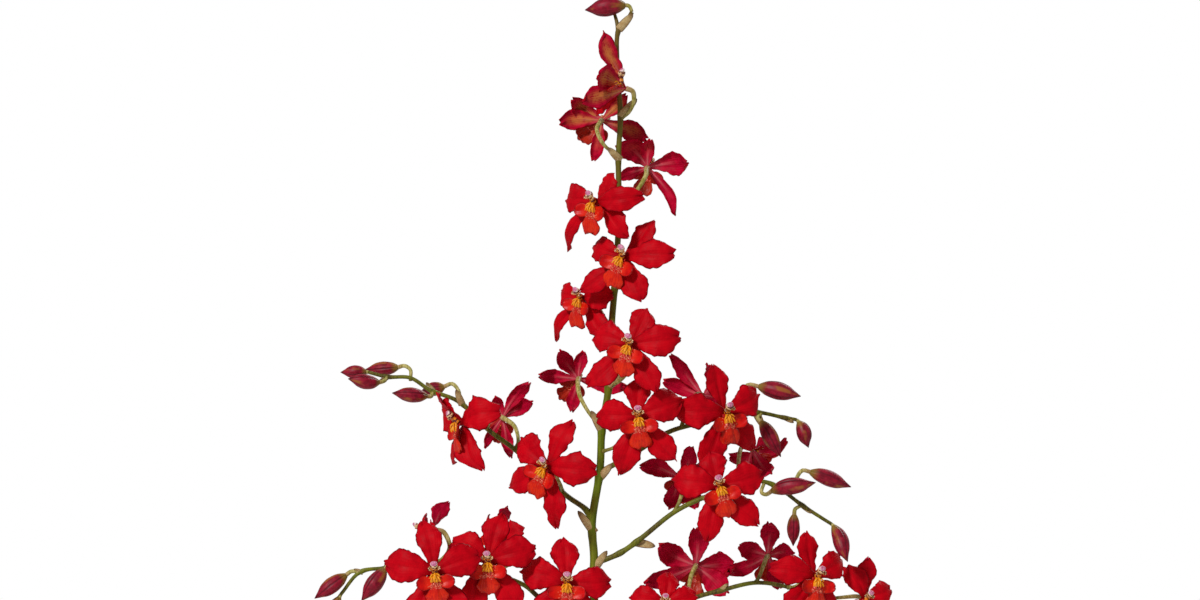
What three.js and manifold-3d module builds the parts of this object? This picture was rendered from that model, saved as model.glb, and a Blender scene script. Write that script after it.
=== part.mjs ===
import * as THREE from 'three';
import Module from 'manifold-3d';
import { mergeVertices } from 'three/addons/utils/BufferGeometryUtils.js';

// A potted oncidium orchid with one branched spray of red blooms.
// Millimetres, +Z up. The origin is the middle of the pot's flat foot.
// The spray is spread like a fan and is seen from the front, along +Y.

const wasm = await Module();
wasm.setup();

// Driving dimensions

const potHeight = 110;
const potFootRadius = 43;
const potRimRadius = 60.5;
const potWall = 4.5;
const potFloor = 6;
const collarHeight = 22;
const collarStep = 3;
const potSides = 28;

const barkLevel = 93; // level top of the bark, under its loose chips
const chipSize = [22, 14, 8];
const chipRings = [[17, 4], [32, 6], [43, 7]]; // radius and number of chips

const seatGap = 0.35; // between a piece and what holds it
const bladeThickness = 0.75;
const petalWidth = 18;
const sepalWidth = 14;
const petalArch = 0.1; // how far forward a petal arches, by its length
const sepalArch = -0.01;
const sepalLayer = -0.9; // how far forward the sepals' feet lie, and the petals'
const petalLayer = 0.2;
const stalkSeat = sepalLayer - bladeThickness / 2 - seatGap;
const squareRun = 3; // straight end of a stalk, square to its bloom
const footRadius = 2.1; // of the disc that the feet of one whorl make
const fullReach = 23; // mean length of the five tips of a full-sized bloom
const widestAt = 0.42; // along a sepal or petal

const point = (x, y, z) => new THREE.Vector3(x, y, z);
const points = rows => rows.map(row => point(...row));
const radians = THREE.MathUtils.degToRad;

// A repeatable run of numbers between 0 and 1
function seeded(seed) {
  let state = seed;
  return () => {
    state = (state * 1664525 + 1013904223) % 4294967296;
    return state / 4294967296;
  };
}

// Closed shapes

// Corners that lie on each other become one, and triangles left without an area are dropped
function closed(positions, triangles) {
  const raw = new THREE.BufferGeometry();
  raw.setAttribute('position', new THREE.Float32BufferAttribute(positions, 3));
  raw.setIndex(triangles);
  const merged = mergeVertices(raw, 1e-4);
  const index = [...merged.index.array];
  const kept = [];
  for (let k = 0; k < index.length; k += 3) {
    const [a, b, c] = index.slice(k, k + 3);
    if (a !== b && b !== c && c !== a) kept.push(a, b, c);
  }
  merged.setIndex(kept);
  return merged;
}

// A skin over rings of points, each counter-clockwise about the way the rings advance
function loft(rings) {
  const count = rings[0].length;
  const last = (rings.length - 1) * count;
  const positions = rings.flat().flatMap(corner => corner.toArray());
  const triangles = [];
  for (let start = 0; start < last; start += count) {
    for (let k = 0; k < count; k += 1) {
      const a = start + k;
      const b = start + ((k + 1) % count);
      triangles.push(a, b, b + count, a, b + count, a + count);
    }
  }
  for (let k = 1; k < count - 1; k += 1) {
    triangles.push(0, k + 1, k, last, last + k, last + k + 1);
  }
  return closed(positions, triangles);
}

// A stalk along a smooth curve through the route. A station is how far along it lies, from 0 to 1,
// and the stalk's radius there. The section is carried along without a twist.
function stalk(route, stations, sides) {
  const curve = new THREE.CatmullRomCurve3(route, false, 'centripetal');
  const tangent = curve.getTangentAt(0);
  const normal = tangent.clone().cross(point(0.3, 1, 0.1)).normalize();
  return loft(stations.map(([at, radius]) => {
    const middle = curve.getPointAt(at);
    const onward = curve.getTangentAt(at);
    normal.applyQuaternion(new THREE.Quaternion().setFromUnitVectors(tangent, onward));
    tangent.copy(onward);
    const across = tangent.clone().cross(normal);
    return Array.from({ length: sides }, (unused, k) => {
      const angle = (2 * Math.PI * k) / sides;
      return middle.clone()
        .addScaledVector(normal, radius * Math.cos(angle))
        .addScaledVector(across, radius * Math.sin(angle));
    });
  }));
}

const evenly = (steps, radiusAt) => Array.from({ length: steps + 1 }, (unused, step) => (
  [step / steps, radiusAt(step / steps)]));

// A sheet of triangles thickened to both sides along each corner's normal: the back repeats the
// front's triangles, and a rim closes every edge that only one triangle has.
function thicken(corners, normals, triangles, thickness) {
  const count = corners.length;
  const positions = [0.5, -0.5].flatMap(side => corners.flatMap((corner, k) => (
    corner.clone().addScaledVector(normals[k], side * thickness).toArray())));
  const skin = [];
  const border = new Map();
  for (const [a, b, c] of triangles) {
    skin.push(a, b, c, a + count, c + count, b + count);
    for (const [from, to] of [[a, b], [b, c], [c, a]]) {
      if (!border.delete(`${to} ${from}`)) border.set(`${from} ${to}`, [from, to]);
    }
  }
  for (const [from, to] of border.values()) {
    skin.push(from, from + count, to + count, from, to + count, to);
  }
  return closed(positions, skin);
}

// The triangles between two rows of corners, given as lists of their numbers
const between = (row, next) => row.slice(1).flatMap((unused, k) => [
  [row[k], row[k + 1], next[k + 1]], [row[k], next[k + 1], next[k]],
]);

// A thin blade: rows of points that advance along it, each row with its own normal
function blade(grid, normals, thickness) {
  const width = grid[0].length;
  const numbers = grid.map((row, i) => row.map((unused, j) => i * width + j));
  return thicken(
    grid.flat(), normals.flatMap(normal => Array(width).fill(normal)),
    numbers.slice(1).flatMap((row, i) => between(numbers[i], row)), thickness);
}

// Joins and cuts

function solidOf(geometry) {
  const bare = geometry.clone();
  bare.deleteAttribute('normal');
  bare.deleteAttribute('uv');
  const merged = mergeVertices(bare, 1e-4);
  return new wasm.Manifold(new wasm.Mesh({
    numProp: 3,
    vertProperties: new Float32Array(merged.attributes.position.array),
    triVerts: new Uint32Array(merged.index.array),
  }));
}

const joined = geometries => geometries.map(solidOf).reduce((whole, next) => whole.add(next));

// The largest body, without the scraps that a cut can leave
function mainBody(solid) {
  return solid.decompose().reduce((best, next) => (next.volume() > best.volume() ? next : best));
}

function geometryOf(solid) {
  const mesh = solid.getMesh();
  const geometry = new THREE.BufferGeometry();
  geometry.setAttribute('position', new THREE.Float32BufferAttribute(mesh.vertProperties, 3));
  geometry.setIndex([...mesh.triVerts]);
  geometry.computeVertexNormals();
  return geometry;
}

// Materials

const finish = (color, roughness) => new THREE.MeshStandardMaterial({
  color, roughness, metalness: 0, flatShading: true,
});
const materials = {
  bloom: finish('#c8060f', 0.45),
  centre: finish('#f0a012', 0.5),
  spike: finish('#6b7318', 0.55),
  growth: finish('#55762b', 0.5),
  bark: finish('#6a442b', 0.9),
  pot: finish('#b3653c', 0.85),
};

const plant = new THREE.Group();

function place(name, geometry, material) {
  const mesh = new THREE.Mesh(geometry, materials[material]);
  mesh.name = name;
  plant.add(mesh);
}

// Blooms
//
// at: the middle of the bloom. turn: where it looks, 0 at the viewer, 90 to the right, 180 away.
// tilt: how far it looks up. tips: how far right and up each tip lies from the middle, in the order
// dorsal sepal, right petal, left petal, right sepal, left sepal. A third number is how far back it
// lies, where the bloom's own plane doesn't give it. stem: the route of its stalk up to the bloom.
// centre: whether the column and the callus are seen, and are a piece of their own.

const blooms = {
  bloom_02: {
    at: [12, -10, 586], turn: -80, tilt: 22, centre: false,
    tips: [[-15, 27, 1], [-14, 6, -16], [-12, 8, 15], [-23, -6, -12], [-19, -9, 13]],
    stem: [[10.2, 0, 570.5], [14.6, -3, 574], [17, -7, 580]],
  },
  bloom_03: {
    at: [1, 20, 570], turn: 175, tilt: 0, centre: false,
    tips: [[14, 12], [24, -8], [-15, 10], [-4, -20.5], [-21, 0]],
    stem: [[9.3, 0, 551.5], [2, -2, 557.5], [-1.6, 3, 565], [0.6, 11, 569.7]],
  },
  bloom_04: {
    at: [24, 16, 546.5], turn: 170, tilt: 10, centre: false,
    tips: [[2.5, 15.5], [22, 3.5], [-13, 14], [16.5, -21.5], [-14, -4]],
    stem: [[9.9, 0, 526.5], [13, -3, 530], [18.5, -1, 535], [23, 5, 542.5]],
  },
  bloom_05: {
    at: [-1.5, -21, 529], turn: -38, tilt: 8, centre: true,
    tips: [[6, 15], [20, 2], [-18.5, 3], [12.5, -17], [-21.5, -22]],
    stem: [[9.3, 0, 512], [8.5, -7, 516], [5, -14, 524]],
  },
  bloom_06: {
    at: [12, -21, 501.5], turn: -22, tilt: 14, centre: true,
    tips: [[14, 19], [25, 1.5], [-17, 7], [8, -21], [-23, -17.5]],
    stem: [[8, 0, 487], [11, -7, 490], [13.5, -13, 497]],
  },
  bloom_07: {
    at: [-8, 0, 481], turn: -40, tilt: 10, centre: true,
    tips: [[6, 14], [13, 1], [-13.5, 4], [8.5, -19.5], [-20.5, -19]],
    stem: [[6.3, 0, 467], [3, 3, 470], [-1.5, 6, 477]],
  },
  bloom_08: {
    at: [15, -34, 458], turn: -14, tilt: 8, centre: true,
    tips: [[8, 18.5], [24.5, 3], [-19, 5.5], [12, -24], [-21.5, -22]],
    stem: [[4.8, 0, 437], [9, -6, 439], [13.5, -15, 444], [15.5, -24, 453]],
  },
  bloom_09: {
    at: [-11, 20, 440.5], turn: 185, tilt: 0, centre: false,
    tips: [[3, 14], [23.5, -4.5], [-11, 14], [-4.5, -16.5], [-21, 2]],
    stem: [[1.2, 0, 416], [-5, -2, 423], [-10, 3, 432], [-11, 11, 439]],
  },
  bloom_11: {
    at: [19, -29, 422.5], turn: 0, tilt: 5, centre: true,
    tips: [[0.5, 19.5], [22, 8], [-21, 1], [18, -23.5], [-10.5, -29]],
    stem: [[0.6, 0, 404], [8, -8, 407], [16, -18, 417]],
  },
  bloom_12: {
    at: [62, -14, 424], turn: 25, tilt: 5, centre: true,
    tips: [[-4.5, 24.5], [18.5, 10], [-23, 0.5], [18.5, -18], [-9.5, -26.5]],
    stem: [[49, 6, 418], [53, 3, 418.5], [59, -4, 422.5]],
  },
  bloom_13: {
    at: [52, 26, 432], turn: 150, tilt: -10, centre: false,
    tips: [[-13, 19], [8, 14], [-17, 7], [13, -4], [0, -17]],
    stem: [[41, 5, 416.3], [42, 5, 422], [47, 12, 431]],
  },
  bloom_14: {
    at: [59, -35, 388], turn: 5, tilt: 6, centre: true,
    tips: [[-4, 17], [22, 6.5], [-23, 2.5], [21.5, -18.5], [-6, -28]],
    stem: [[51.5, -8, 381.3], [54, -15, 380], [58, -24, 385]],
  },
  bloom_15: {
    at: [40, 12, 391], turn: 180, tilt: 0, centre: false,
    tips: [[7, 15.5], [17, 3], [-20, 7], [9, -15], [-5, -16]],
    stem: [[37, -7, 374], [39.5, -7, 379], [41.5, -1, 387]],
  },
  bloom_16: {
    at: [77, 22, 404], turn: 135, tilt: -45, centre: false,
    tips: [[8.4, 0.9, 14.7], [-3.7, -7.6, 13.6], [15.7, -1.9, 2.1], [-3.5, -17.5, 1.9], [11.7, -15.9, -7.2]],
    stem: [[68.5, -9, 387.5], [69, -2, 397], [70.5, 8, 405.5]],
  },
  bloom_20: {
    at: [48, 26, 346.5], turn: 180, tilt: 0, centre: false,
    tips: [[0.5, 19.5], [19.5, 1.5], [-19.5, 9.5], [15.5, -14.5], [-26, -9.5]],
    stem: [[47.5, 4, 331.3], [45, 7, 334], [45.5, 15, 341]],
  },
  bloom_21: {
    at: [84.5, 27, 351.5], turn: 170, tilt: 5, centre: false,
    tips: [[3, 18.5], [14, 3], [-14, 5], [7, -16], [-19, -9]],
    stem: [[78, 6, 338.6], [80, 9, 342], [83, 17, 350]],
  },
  bloom_22: {
    at: [107, -15, 342.5], turn: 28, tilt: 4, centre: true,
    tips: [[-3, 22.5], [16, 9], [-20.5, 4.5], [10, -20], [-14, -18]],
    stem: [[94, 7, 336.3], [97, 4, 336.5], [103, -4, 340]],
  },
  bloom_23: {
    at: [132.5, 4, 331], turn: 18, tilt: 0, centre: true,
    tips: [[3, 20.5], [14, 5], [-8, 16], [9, -21], [-14, -15]],
    stem: [[115, 9, 330.5], [121, 11, 331], [128, 13, 331.5]],
  },
  bloom_24: {
    at: [32.5, -17, 329], turn: 0, tilt: 8, centre: true,
    tips: [[1.5, 16], [16, 4], [-18, 2], [10, -22], [-12, -20]],
    stem: [[16, -2.5, 312], [22, -4, 314], [30, -8, 324]],
  },
  bloom_26: {
    at: [-26, -21, 397], turn: -30, tilt: 5, centre: true,
    tips: [[9.5, 23.5], [22.5, -2], [-15, 14], [2.5, -30.5], [-22.5, -11.5]],
    stem: [[-19, 2.5, 384.5], [-19.5, -3, 387], [-23, -10, 394]],
  },
  bloom_27: {
    at: [-68.5, -9, 419], turn: -65, tilt: 0, centre: true,
    tips: [[-17, 12, 3], [14.5, 6.5, -16], [-12, 4, 15], [8.5, -23, -9], [-9, -20, 8]],
    stem: [[-56.5, 6.4, 415.5], [-56, 1, 419], [-60, -3, 421]],
  },
  bloom_28: {
    at: [-49, 27, 421], turn: 182, tilt: 0, centre: false,
    tips: [[13, 18], [15.5, 7], [-3, 11], [3, -20.5], [-10, -15]],
    stem: [[-42.5, 4, 405.3], [-41, 6, 409], [-43, 15, 417]],
  },
  bloom_29: {
    at: [-82, -52, 345.5], turn: 0, tilt: 5, centre: true,
    tips: [[-5, 26.5], [22.5, 8.5], [-25.5, 3.5], [15, -26.5], [-12, -28]],
    stem: [[-76, -25, 347.2], [-77, -32, 344], [-81, -41, 344]],
  },
  bloom_30: {
    at: [-55.5, -39, 350.5], turn: -5, tilt: 4, centre: true,
    tips: [[5.5, 24.5], [24, 6], [-18.5, 10.5], [17, -25], [-9, -27]],
    stem: [[-49, -20.5, 342.3], [-50, -24, 341], [-54, -31, 346]],
  },
  bloom_31: {
    at: [-16.5, -35, 340], turn: 0, tilt: 5, centre: true,
    tips: [[-1, 22.5], [22, 0.5], [-23.5, 4.5], [15, -22], [-15, -18]],
    stem: [[-17.5, -10, 316.5], [-17, -15, 319], [-16, -24, 333]],
  },
  bloom_32: {
    at: [-85, -10, 365], turn: -72, tilt: 0, centre: true,
    tips: [[6, 15.5, 5], [3, -1, -14], [-5, 5, 13], [-2, -14, -8], [-2, -12, 8]],
    stem: [[-88, -26, 348], [-80, -21, 350], [-75, -10, 357], [-78, -7.5, 364]],
  },
  bloom_33: {
    at: [-52, -1, 362.5], turn: -62, tilt: 0, centre: true,
    tips: [[4, 15, 0], [13, 3, -13], [-6, 7, 12], [0, -16, -8], [-7, -12, 6]],
    stem: [[-60, -21.5, 345.5], [-52, -16, 345], [-42, -4, 352], [-45, 3, 361]],
  },
};

function lookOf({ turn, tilt }) {
  const level = Math.cos(radians(tilt));
  return point(
    Math.sin(radians(turn)) * level, -Math.cos(radians(turn)) * level, Math.sin(radians(tilt)));
}

// A tip lies in the plane of the bloom, a little behind it, unless its depth is given
function tipOf([right, up, back], look) {
  const depth = back ?? -(look.x * right + look.z * up) / look.y;
  return point(right, depth, up);
}

// A sepal or petal beyond its foot: widest past its middle, with its edges laid back. Petals arch to
// the front of the bloom and have a corner on their middle line, and sepals stay flat behind them.
function tepal(tip, look, width, isPetal, wave) {
  const length = tip.length();
  const along = tip.clone().normalize();
  const side = along.clone().cross(look).normalize();
  const face = side.clone().cross(along);
  const arch = isPetal ? petalArch : sepalArch;
  const edges = isPetal ? [-1, 0, 1] : [-1, 1];
  const rows = [[widestAt, 0.88, arch], [0.78, 0.84, 0.7 * arch], [1, 0, -0.03]];
  const grid = rows.map(([at, half, rise], row) => edges.map(edge => {
    const ripple = edge * wave * (row === 0 ? 1 : -1) * half;
    const laidBack = Math.abs(edge) * half * width * 0.08;
    return along.clone().multiplyScalar(at * length)
      .addScaledVector(side, (edge * half * width) / 2)
      .addScaledVector(face, rise * length - laidBack + ripple);
  }));
  return { along, face, grid };
}

// The lip hangs from the middle: two round side lobes, a waist, and a notched lobe that flares.
// Each row gives how far down its edge and keel lie, its half width, and how far forward they are.
// Its first rows are its foot, which runs back through the petals into the sepals and joins them.
const lipRows = [
  { down: [0.2, 0.2], half: 1.7, forward: [-0.9, -0.9] },
  { down: [0.9, 0.9], half: 1.8, forward: [1.5, 1.5] },
  { down: [2.6, 3.4], half: 9.4, forward: [4.2, 1.8] },
  { down: [8.6, 8.4], half: 8, forward: [4.6, 2.2] },
  { down: [9.8, 10.6], half: 3.3, forward: [2.6, 2.4] },
  { down: [17, 15.6], half: 6, forward: [1, 1.6] },
];

// The bloom's own directions: up runs from its lateral sepals to its dorsal one
function frameOf(bloom) {
  const look = lookOf(bloom);
  const tips = bloom.tips.map(tip => tipOf(tip, look));
  const rise = tips[0].clone().normalize()
    .addScaledVector(tips[3].clone().normalize(), -1).addScaledVector(tips[4].clone().normalize(), -1);
  const up = rise.addScaledVector(look, -rise.dot(look)).normalize();
  const lengths = tips.map(tip => tip.length());
  const size = Math.min(1, lengths.reduce((sum, length) => sum + length) / lengths.length / fullReach);
  // How far forward the lateral sepals lean, and the lip and the column with them
  const lean = Math.asin((tips[3].dot(look) / lengths[3] + tips[4].dot(look) / lengths[4]) / 2);
  return { look, up, right: up.clone().cross(look), tips, size, lean };
}

function inFrame({ right, up, look }, x, y, z) {
  return point(0, 0, 0).addScaledVector(right, x).addScaledVector(up, y).addScaledVector(look, z);
}

const leaning = (frame, x, y, z) => inFrame(frame, x, y, z).applyAxisAngle(frame.right, -frame.lean);

// The blades of one whorl are one sheet round the bloom's middle: neighbours share a corner of their
// feet, halfway between them, and the feet surround the middle as a disc.
function whorl(arms, frame, layer) {
  const { look } = frame;
  const lift = look.clone().multiplyScalar(layer);
  const angleOf = arm => Math.atan2(arm.along.dot(frame.right), arm.along.dot(frame.up));
  const ordered = [...arms].sort((one, other) => angleOf(one) - angleOf(other));
  const angles = ordered.map(angleOf);
  const corners = [lift];
  const normals = [look];
  const add = (corner, normal) => {
    corners.push(corner);
    normals.push(normal);
    return corners.length - 1;
  };
  const foot = (angle, radius) => add(
    inFrame(frame, Math.sin(angle) * radius, Math.cos(angle) * radius, layer), look);
  const notches = angles.map((angle, k) => {
    const onward = k + 1 < angles.length ? angles[k + 1] : angles[0] + 2 * Math.PI;
    return foot((angle + onward) / 2, footRadius);
  });
  const triangles = ordered.flatMap((arm, k) => {
    const before = notches[(k + arms.length - 1) % arms.length];
    const start = arm.grid[0].length === 2
      ? [before, notches[k]]
      : [before, foot(angles[k], 1.4 * footRadius), notches[k]];
    const rows = arm.grid.map(row => row.map(corner => add(corner.add(lift), arm.face)));
    return [
      ...start.slice(1).map((corner, i) => [0, corner, start[i]]),
      ...rows.flatMap((row, i) => between(i ? rows[i - 1] : start, row)),
    ];
  });
  return thicken(corners, normals, triangles, bladeThickness);
}

// Side by side, two blades of one whorl stay narrow enough not to meet
function roomBetween(one, other) {
  const gap = one.angleTo(other);
  return 2 * Math.tan(gap / 2) * widestAt * Math.min(one.length(), other.length());
}

// The petals lie over the sepals, and the lip over both
function bloomGeometry(bloom, frame, random) {
  const { look, tips, size } = frame;
  const sepalRoom = roomBetween(tips[3], tips[4]);
  const petalRoom = roomBetween(tips[1], tips[2]);
  const arms = tips.map((tip, k) => {
    const isPetal = k === 1 || k === 2;
    const width = isPetal ? Math.min(petalWidth * size, petalRoom) : Math.min(sepalWidth * size, sepalRoom);
    return tepal(tip, look, width, isPetal, 1.4 * random() - 0.7);
  });
  const sepals = whorl([arms[0], arms[3], arms[4]], frame, sepalLayer);
  const petals = whorl([arms[1], arms[2]], frame, petalLayer);
  const lip = blade(lipRows.map(({ down, half, forward }, row) => [1, 0, -1].map(edge => {
    const line = edge === 0 ? 1 : 0;
    const place = row < 2 ? inFrame : leaning;
    return place(frame, edge * half * size, -down[line] * size, forward[line]);
  })), lipRows.map((unused, row) => (row ? leaning(frame, 0, 0, 1) : frame.up)), bladeThickness);
  return geometryOf(joined([sepals, petals, lip]).translate(bloom.at));
}

// The column stands over the lip, and the callus lies on its keel
function centreGeometry(bloom, frame) {
  const { size } = frame;
  const column = stalk(
    [[0.2, 2.3], [2.4, 5.4], [4.8, 8.2]].map(([up, forward]) => leaning(frame, 0, up, forward)),
    evenly(2, at => (1.4 + 0.5 * at) * size), 5);
  const facing = leaning(frame, 0, 0, 1);
  const callus = blade(
    [[0.2, 1.5, 3.6], [4.5, 2.3, 4.3], [8.2, 1.7, 4.6]].map(([down, half, forward]) => [
      leaning(frame, half * size, -down * size, forward),
      leaning(frame, -half * size, -down * size, forward),
    ]),
    [facing, facing, facing], 1.7);
  return geometryOf(joined([column, callus]).translate(bloom.at));
}

for (const [name, bloom] of Object.entries(blooms)) {
  const frame = frameOf(bloom);
  const random = seeded(Number(name.slice(-2)));
  place(name, bloomGeometry(bloom, frame, random), 'bloom');
  if (bloom.centre) {
    place(name.replace('bloom', 'centre'), centreGeometry(bloom, frame), 'centre');
  }
}

// The flower spike: its stem and branches, each as the route of its middle line

const stemRoute = [
  [6, -4, 82], [6, -5, 130], [4, -3, 190], [1, -1, 260], [-3, 0, 330], [-3, 0, 352], [-4, 0, 368],
  [0, 0, 395], [1, 0, 416], [4, 0, 434], [6, 0, 470], [7.5, 0, 488], [9.5, 0, 524], [9.2, 0, 552],
  [10.2, 0, 572], [8.6, 0, 598], [9.3, 0, 615], [13, 0, 619], [16, 0, 624],
];
const branches = [
  [
    [0, 0, 394], [15, 2, 402], [34.5, 4, 414], [48, 6, 418], [75, 10, 424], [92.5, 14, 421],
    [98.5, 15, 420]],
  [
    [-3, 0, 348], [10, -2, 353.5], [20, -4, 360.5], [37, -7, 374], [51, -8, 381], [76, -9, 389.5],
    [86, -9, 388], [101, -8, 377.5], [111, -7, 371], [115.5, -7, 368.2]],
  [
    [-1.5, 0, 300], [13, -2, 310], [30, 1, 322], [47.5, 4, 331], [60, 5, 334.5], [78, 6, 338.5],
    [94, 7, 336.3], [106, 8, 332], [116, 9, 330.5]],
  [
    [-4, 0, 367], [-6.5, 1, 374.5], [-16.5, 2, 382], [-43, 4, 405.5], [-56.5, 6, 415.5],
    [-70.5, 9, 429], [-85, 10, 434.8], [-95, 11, 441], [-106.5, 11.5, 441.5], [-116, 12, 443.8]],
  [
    [-2, 0, 292], [-14, -8, 312], [-32.5, -16, 333.5], [-39, -18, 338.5], [-70, -24, 347],
    [-107.5, -28, 346.5], [-119.5, -28, 344.5], [-129, -27, 333.5]],
];

// Buds: the stalk's route ends at the bud's base, and thickness is across the bud's middle
const buds = [
  { stem: [[16, 0, 624], [14.5, 0, 627], [12, 0, 627.4]], tip: [-7.5, 0, 625], thickness: 9.5 },
  { stem: [[74, 10, 424], [71, 9, 432], [74, 8, 437.5], [80, 7, 436.6]], tip: [100.5, 5, 431.8],
    thickness: 9 },
  { stem: [[81, 11, 423.3], [79, 10, 421], [81, 9.5, 418.8]], tip: [90.5, 6, 401.5], thickness: 8 },
  { stem: [[98.5, 15, 420], [100, 15, 418.6]], tip: [104.5, 14, 406], thickness: 7.5 },
  { stem: [[82, -9, 388.8], [80.6, -11, 384], [83, -13, 383], [86, -14, 385]],
    tip: [107.5, -18, 389], thickness: 8.5 },
  { stem: [[95, -8.5, 382.5], [97.5, -6, 389.5], [101, -5, 394.8], [105.5, -4, 394]],
    tip: [125.5, -1, 386.5], thickness: 8 },
  { stem: [[101, -8, 377.5], [97.5, -7, 375.6], [97, -6, 372.5]], tip: [96.5, -4, 357],
    thickness: 6.5 },
  { stem: [[115.5, -7, 368.2], [117, -7, 366.8]], tip: [123.5, -16, 349.5], thickness: 8 },
  { stem: [[-84, 10, 434.3], [-84.5, 7, 431.8], [-87, 5, 431.8]], tip: [-104, 1, 433.5],
    thickness: 7.5 },
  { stem: [[-95, 11, 439.6], [-95, 13, 445], [-98, 15, 447], [-101.5, 17, 446.2]],
    tip: [-118, 21, 445], thickness: 7 },
  { stem: [[-106.5, 11.5, 441.5], [-108, 8, 439.5], [-111, 6, 438.6]], tip: [-126, 1, 440.6],
    thickness: 7.5 },
  { stem: [[-116, 12, 443.8], [-117.5, 12, 444]], tip: [-130, 13, 443.8], thickness: 6.5 },
  { stem: [[-70.5, 9, 429], [-70.6, 11, 434], [-74, 13, 438], [-78.5, 15, 436.4]],
    tip: [-90, 18, 434], thickness: 7 },
  { stem: [[-118, -28, 344], [-123.5, -28, 345], [-126.8, -28, 342.8]],
    tip: [-142, -30, 331.5], thickness: 8 },
  { stem: [[-129, -27, 333.5], [-130, -27, 331.6]], tip: [-137.5, -25, 316], thickness: 7 },
  { stem: [[-104, -28, 347.2], [-105, -31, 348.4], [-107.2, -33, 345.6]],
    tip: [-118.5, -37, 330.5], thickness: 8.5 },
];

// Bracts: a pale scale at a node, from the stem to its free tip
const bracts = [
  [[8.8, 0, 571], [17.5, -1.5, 579]], [[10.2, 0, 550], [4, -3, 556]], [[8.6, 0, 525.5], [15, -4, 529]],
  [[7.3, 0, 486], [10, -6, 490]], [[6.8, 0, 466], [1.5, 4, 469]], [[4, 0, 436.5], [10.5, -5.5, 441]],
  [[-2.6, 0, 363.5], [-11, -1, 374.5]],
  [[-3.4, 0, 345], [3.5, -1.5, 354.5]], [[-0.5, 0, 296.5], [6.5, -3, 306]],
  [[-0.4, 0, 288], [-8, -6, 301]], [[2.8, -2, 222], [-1.6, -6, 237]],
  [[4.8, -3.5, 170], [9.4, -7, 189]], [[5.6, -4.8, 122], [1, -8.6, 142]],
  [[78, 10.4, 423.7], [82, 9, 416]], [[18, -3.6, 359], [27.5, -5, 357]],
  [[-69, 8.8, 427.5], [-72, 7, 435]],
  [[-83.5, 10, 434.3], [-87, 13.5, 438.5]], [[-106, -28, 346.7], [-101, -29.5, 354]],
];

// A bud is the swollen end of its own stalk
const budShape = [[0, 0.28], [0.2, 0.8], [0.5, 1], [0.8, 0.5], [1, 0.06]];

function budGeometry({ stem, tip, thickness }) {
  const stalkLength = new THREE.CatmullRomCurve3(points(stem), false, 'centripetal').getLength();
  const budLength = point(...stem[stem.length - 1]).distanceTo(point(...tip));
  const base = stalkLength / (stalkLength + budLength);
  const stalkSteps = Math.max(1, Math.round(stalkLength / 6));
  const stations = [
    ...evenly(stalkSteps, () => 0.9).slice(0, -1).map(([at, radius]) => [at * base, radius]),
    ...budShape.map(([at, share]) => [base + at * (1 - base), (share * thickness) / 2]),
  ];
  return stalk(points([...stem, tip]), stations, 5);
}

function bractGeometry([foot, tip]) {
  const start = point(...foot);
  const along = point(...tip).sub(start);
  const side = along.clone().cross(point(0, 1, 0)).normalize();
  const face = side.clone().cross(along).normalize();
  const grid = [[0, 2.2], [1, 0.6]].map(([at, half]) => [-1, 1].map(edge => (
    start.clone().addScaledVector(along, at).addScaledVector(side, edge * half))));
  return blade(grid, [face, face], 1);
}

const stemStations = room => evenly(22, at => 3 - 1.9 * at + room);
const branchStations = evenly(9, at => 1.5 - 0.55 * at);

const spike = joined([
  stalk(points(stemRoute), stemStations(0), 6),
  ...branches.map(route => stalk(points(route), branchStations, 5)),
  ...Object.values(blooms).map(bloom => {
    const ends = [stalkSeat - squareRun, stalkSeat].map(along => (
      point(...bloom.at).addScaledVector(lookOf(bloom), along)));
    return stalk([...points(bloom.stem), ...ends], evenly(3, at => 0.9 + 0.5 * at), 4);
  }),
  ...buds.map(budGeometry), ...bracts.map(bractGeometry),
]);
place('flower_spike', geometryOf(spike), 'spike');

// Growths: a flattened bulb with strap leaves from its top and its foot.
// leaves: where each points in plan, its reach, its rise over its foot, and its drop at the tip.

const growths = {
  growth_a: {
    at: [25, 7], height: 84, width: 36, thickness: 21, yaw: 12,
    leaves: [
      { foot: 1, yaw: 12, reach: 118, rise: 132, drop: 64, width: 31 },
      { foot: 1, yaw: -58, reach: 88, rise: 118, drop: 30, width: 30 },
      { foot: 0.2, yaw: -18, reach: 78, rise: 74, drop: 20, width: 24 },
    ],
  },
  growth_b: {
    at: [-21, 15], height: 78, width: 34, thickness: 20, yaw: -10,
    leaves: [
      { foot: 1, yaw: 172, reach: 122, rise: 124, drop: 60, width: 30 },
      { foot: 1, yaw: 232, reach: 84, rise: 112, drop: 34, width: 28 },
      { foot: 0.2, yaw: 196, reach: 70, rise: 66, drop: 22, width: 22 },
    ],
  },
  growth_c: {
    at: [6, 35], height: 70, width: 32, thickness: 19, yaw: 4,
    leaves: [
      { foot: 1, yaw: 62, reach: 104, rise: 126, drop: 56, width: 30 },
      { foot: 1, yaw: 128, reach: 100, rise: 120, drop: 62, width: 29 },
    ],
  },
  backbulb: { at: [-17, -23], height: 52, width: 29, thickness: 17, yaw: 28, leaves: [] },
};
const bulbSides = 8;
const bulbSink = 9;
const bulbShape = [
  [0, 0.55], [0.16, 0.9], [0.4, 1], [0.66, 0.82], [0.88, 0.46], [1, 0.2],
];
const leafShape = [
  [0, 0.24], [0.16, 0.5], [0.34, 0.84], [0.54, 1], [0.74, 0.86], [0.9, 0.5], [1, 0.04],
];

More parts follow.
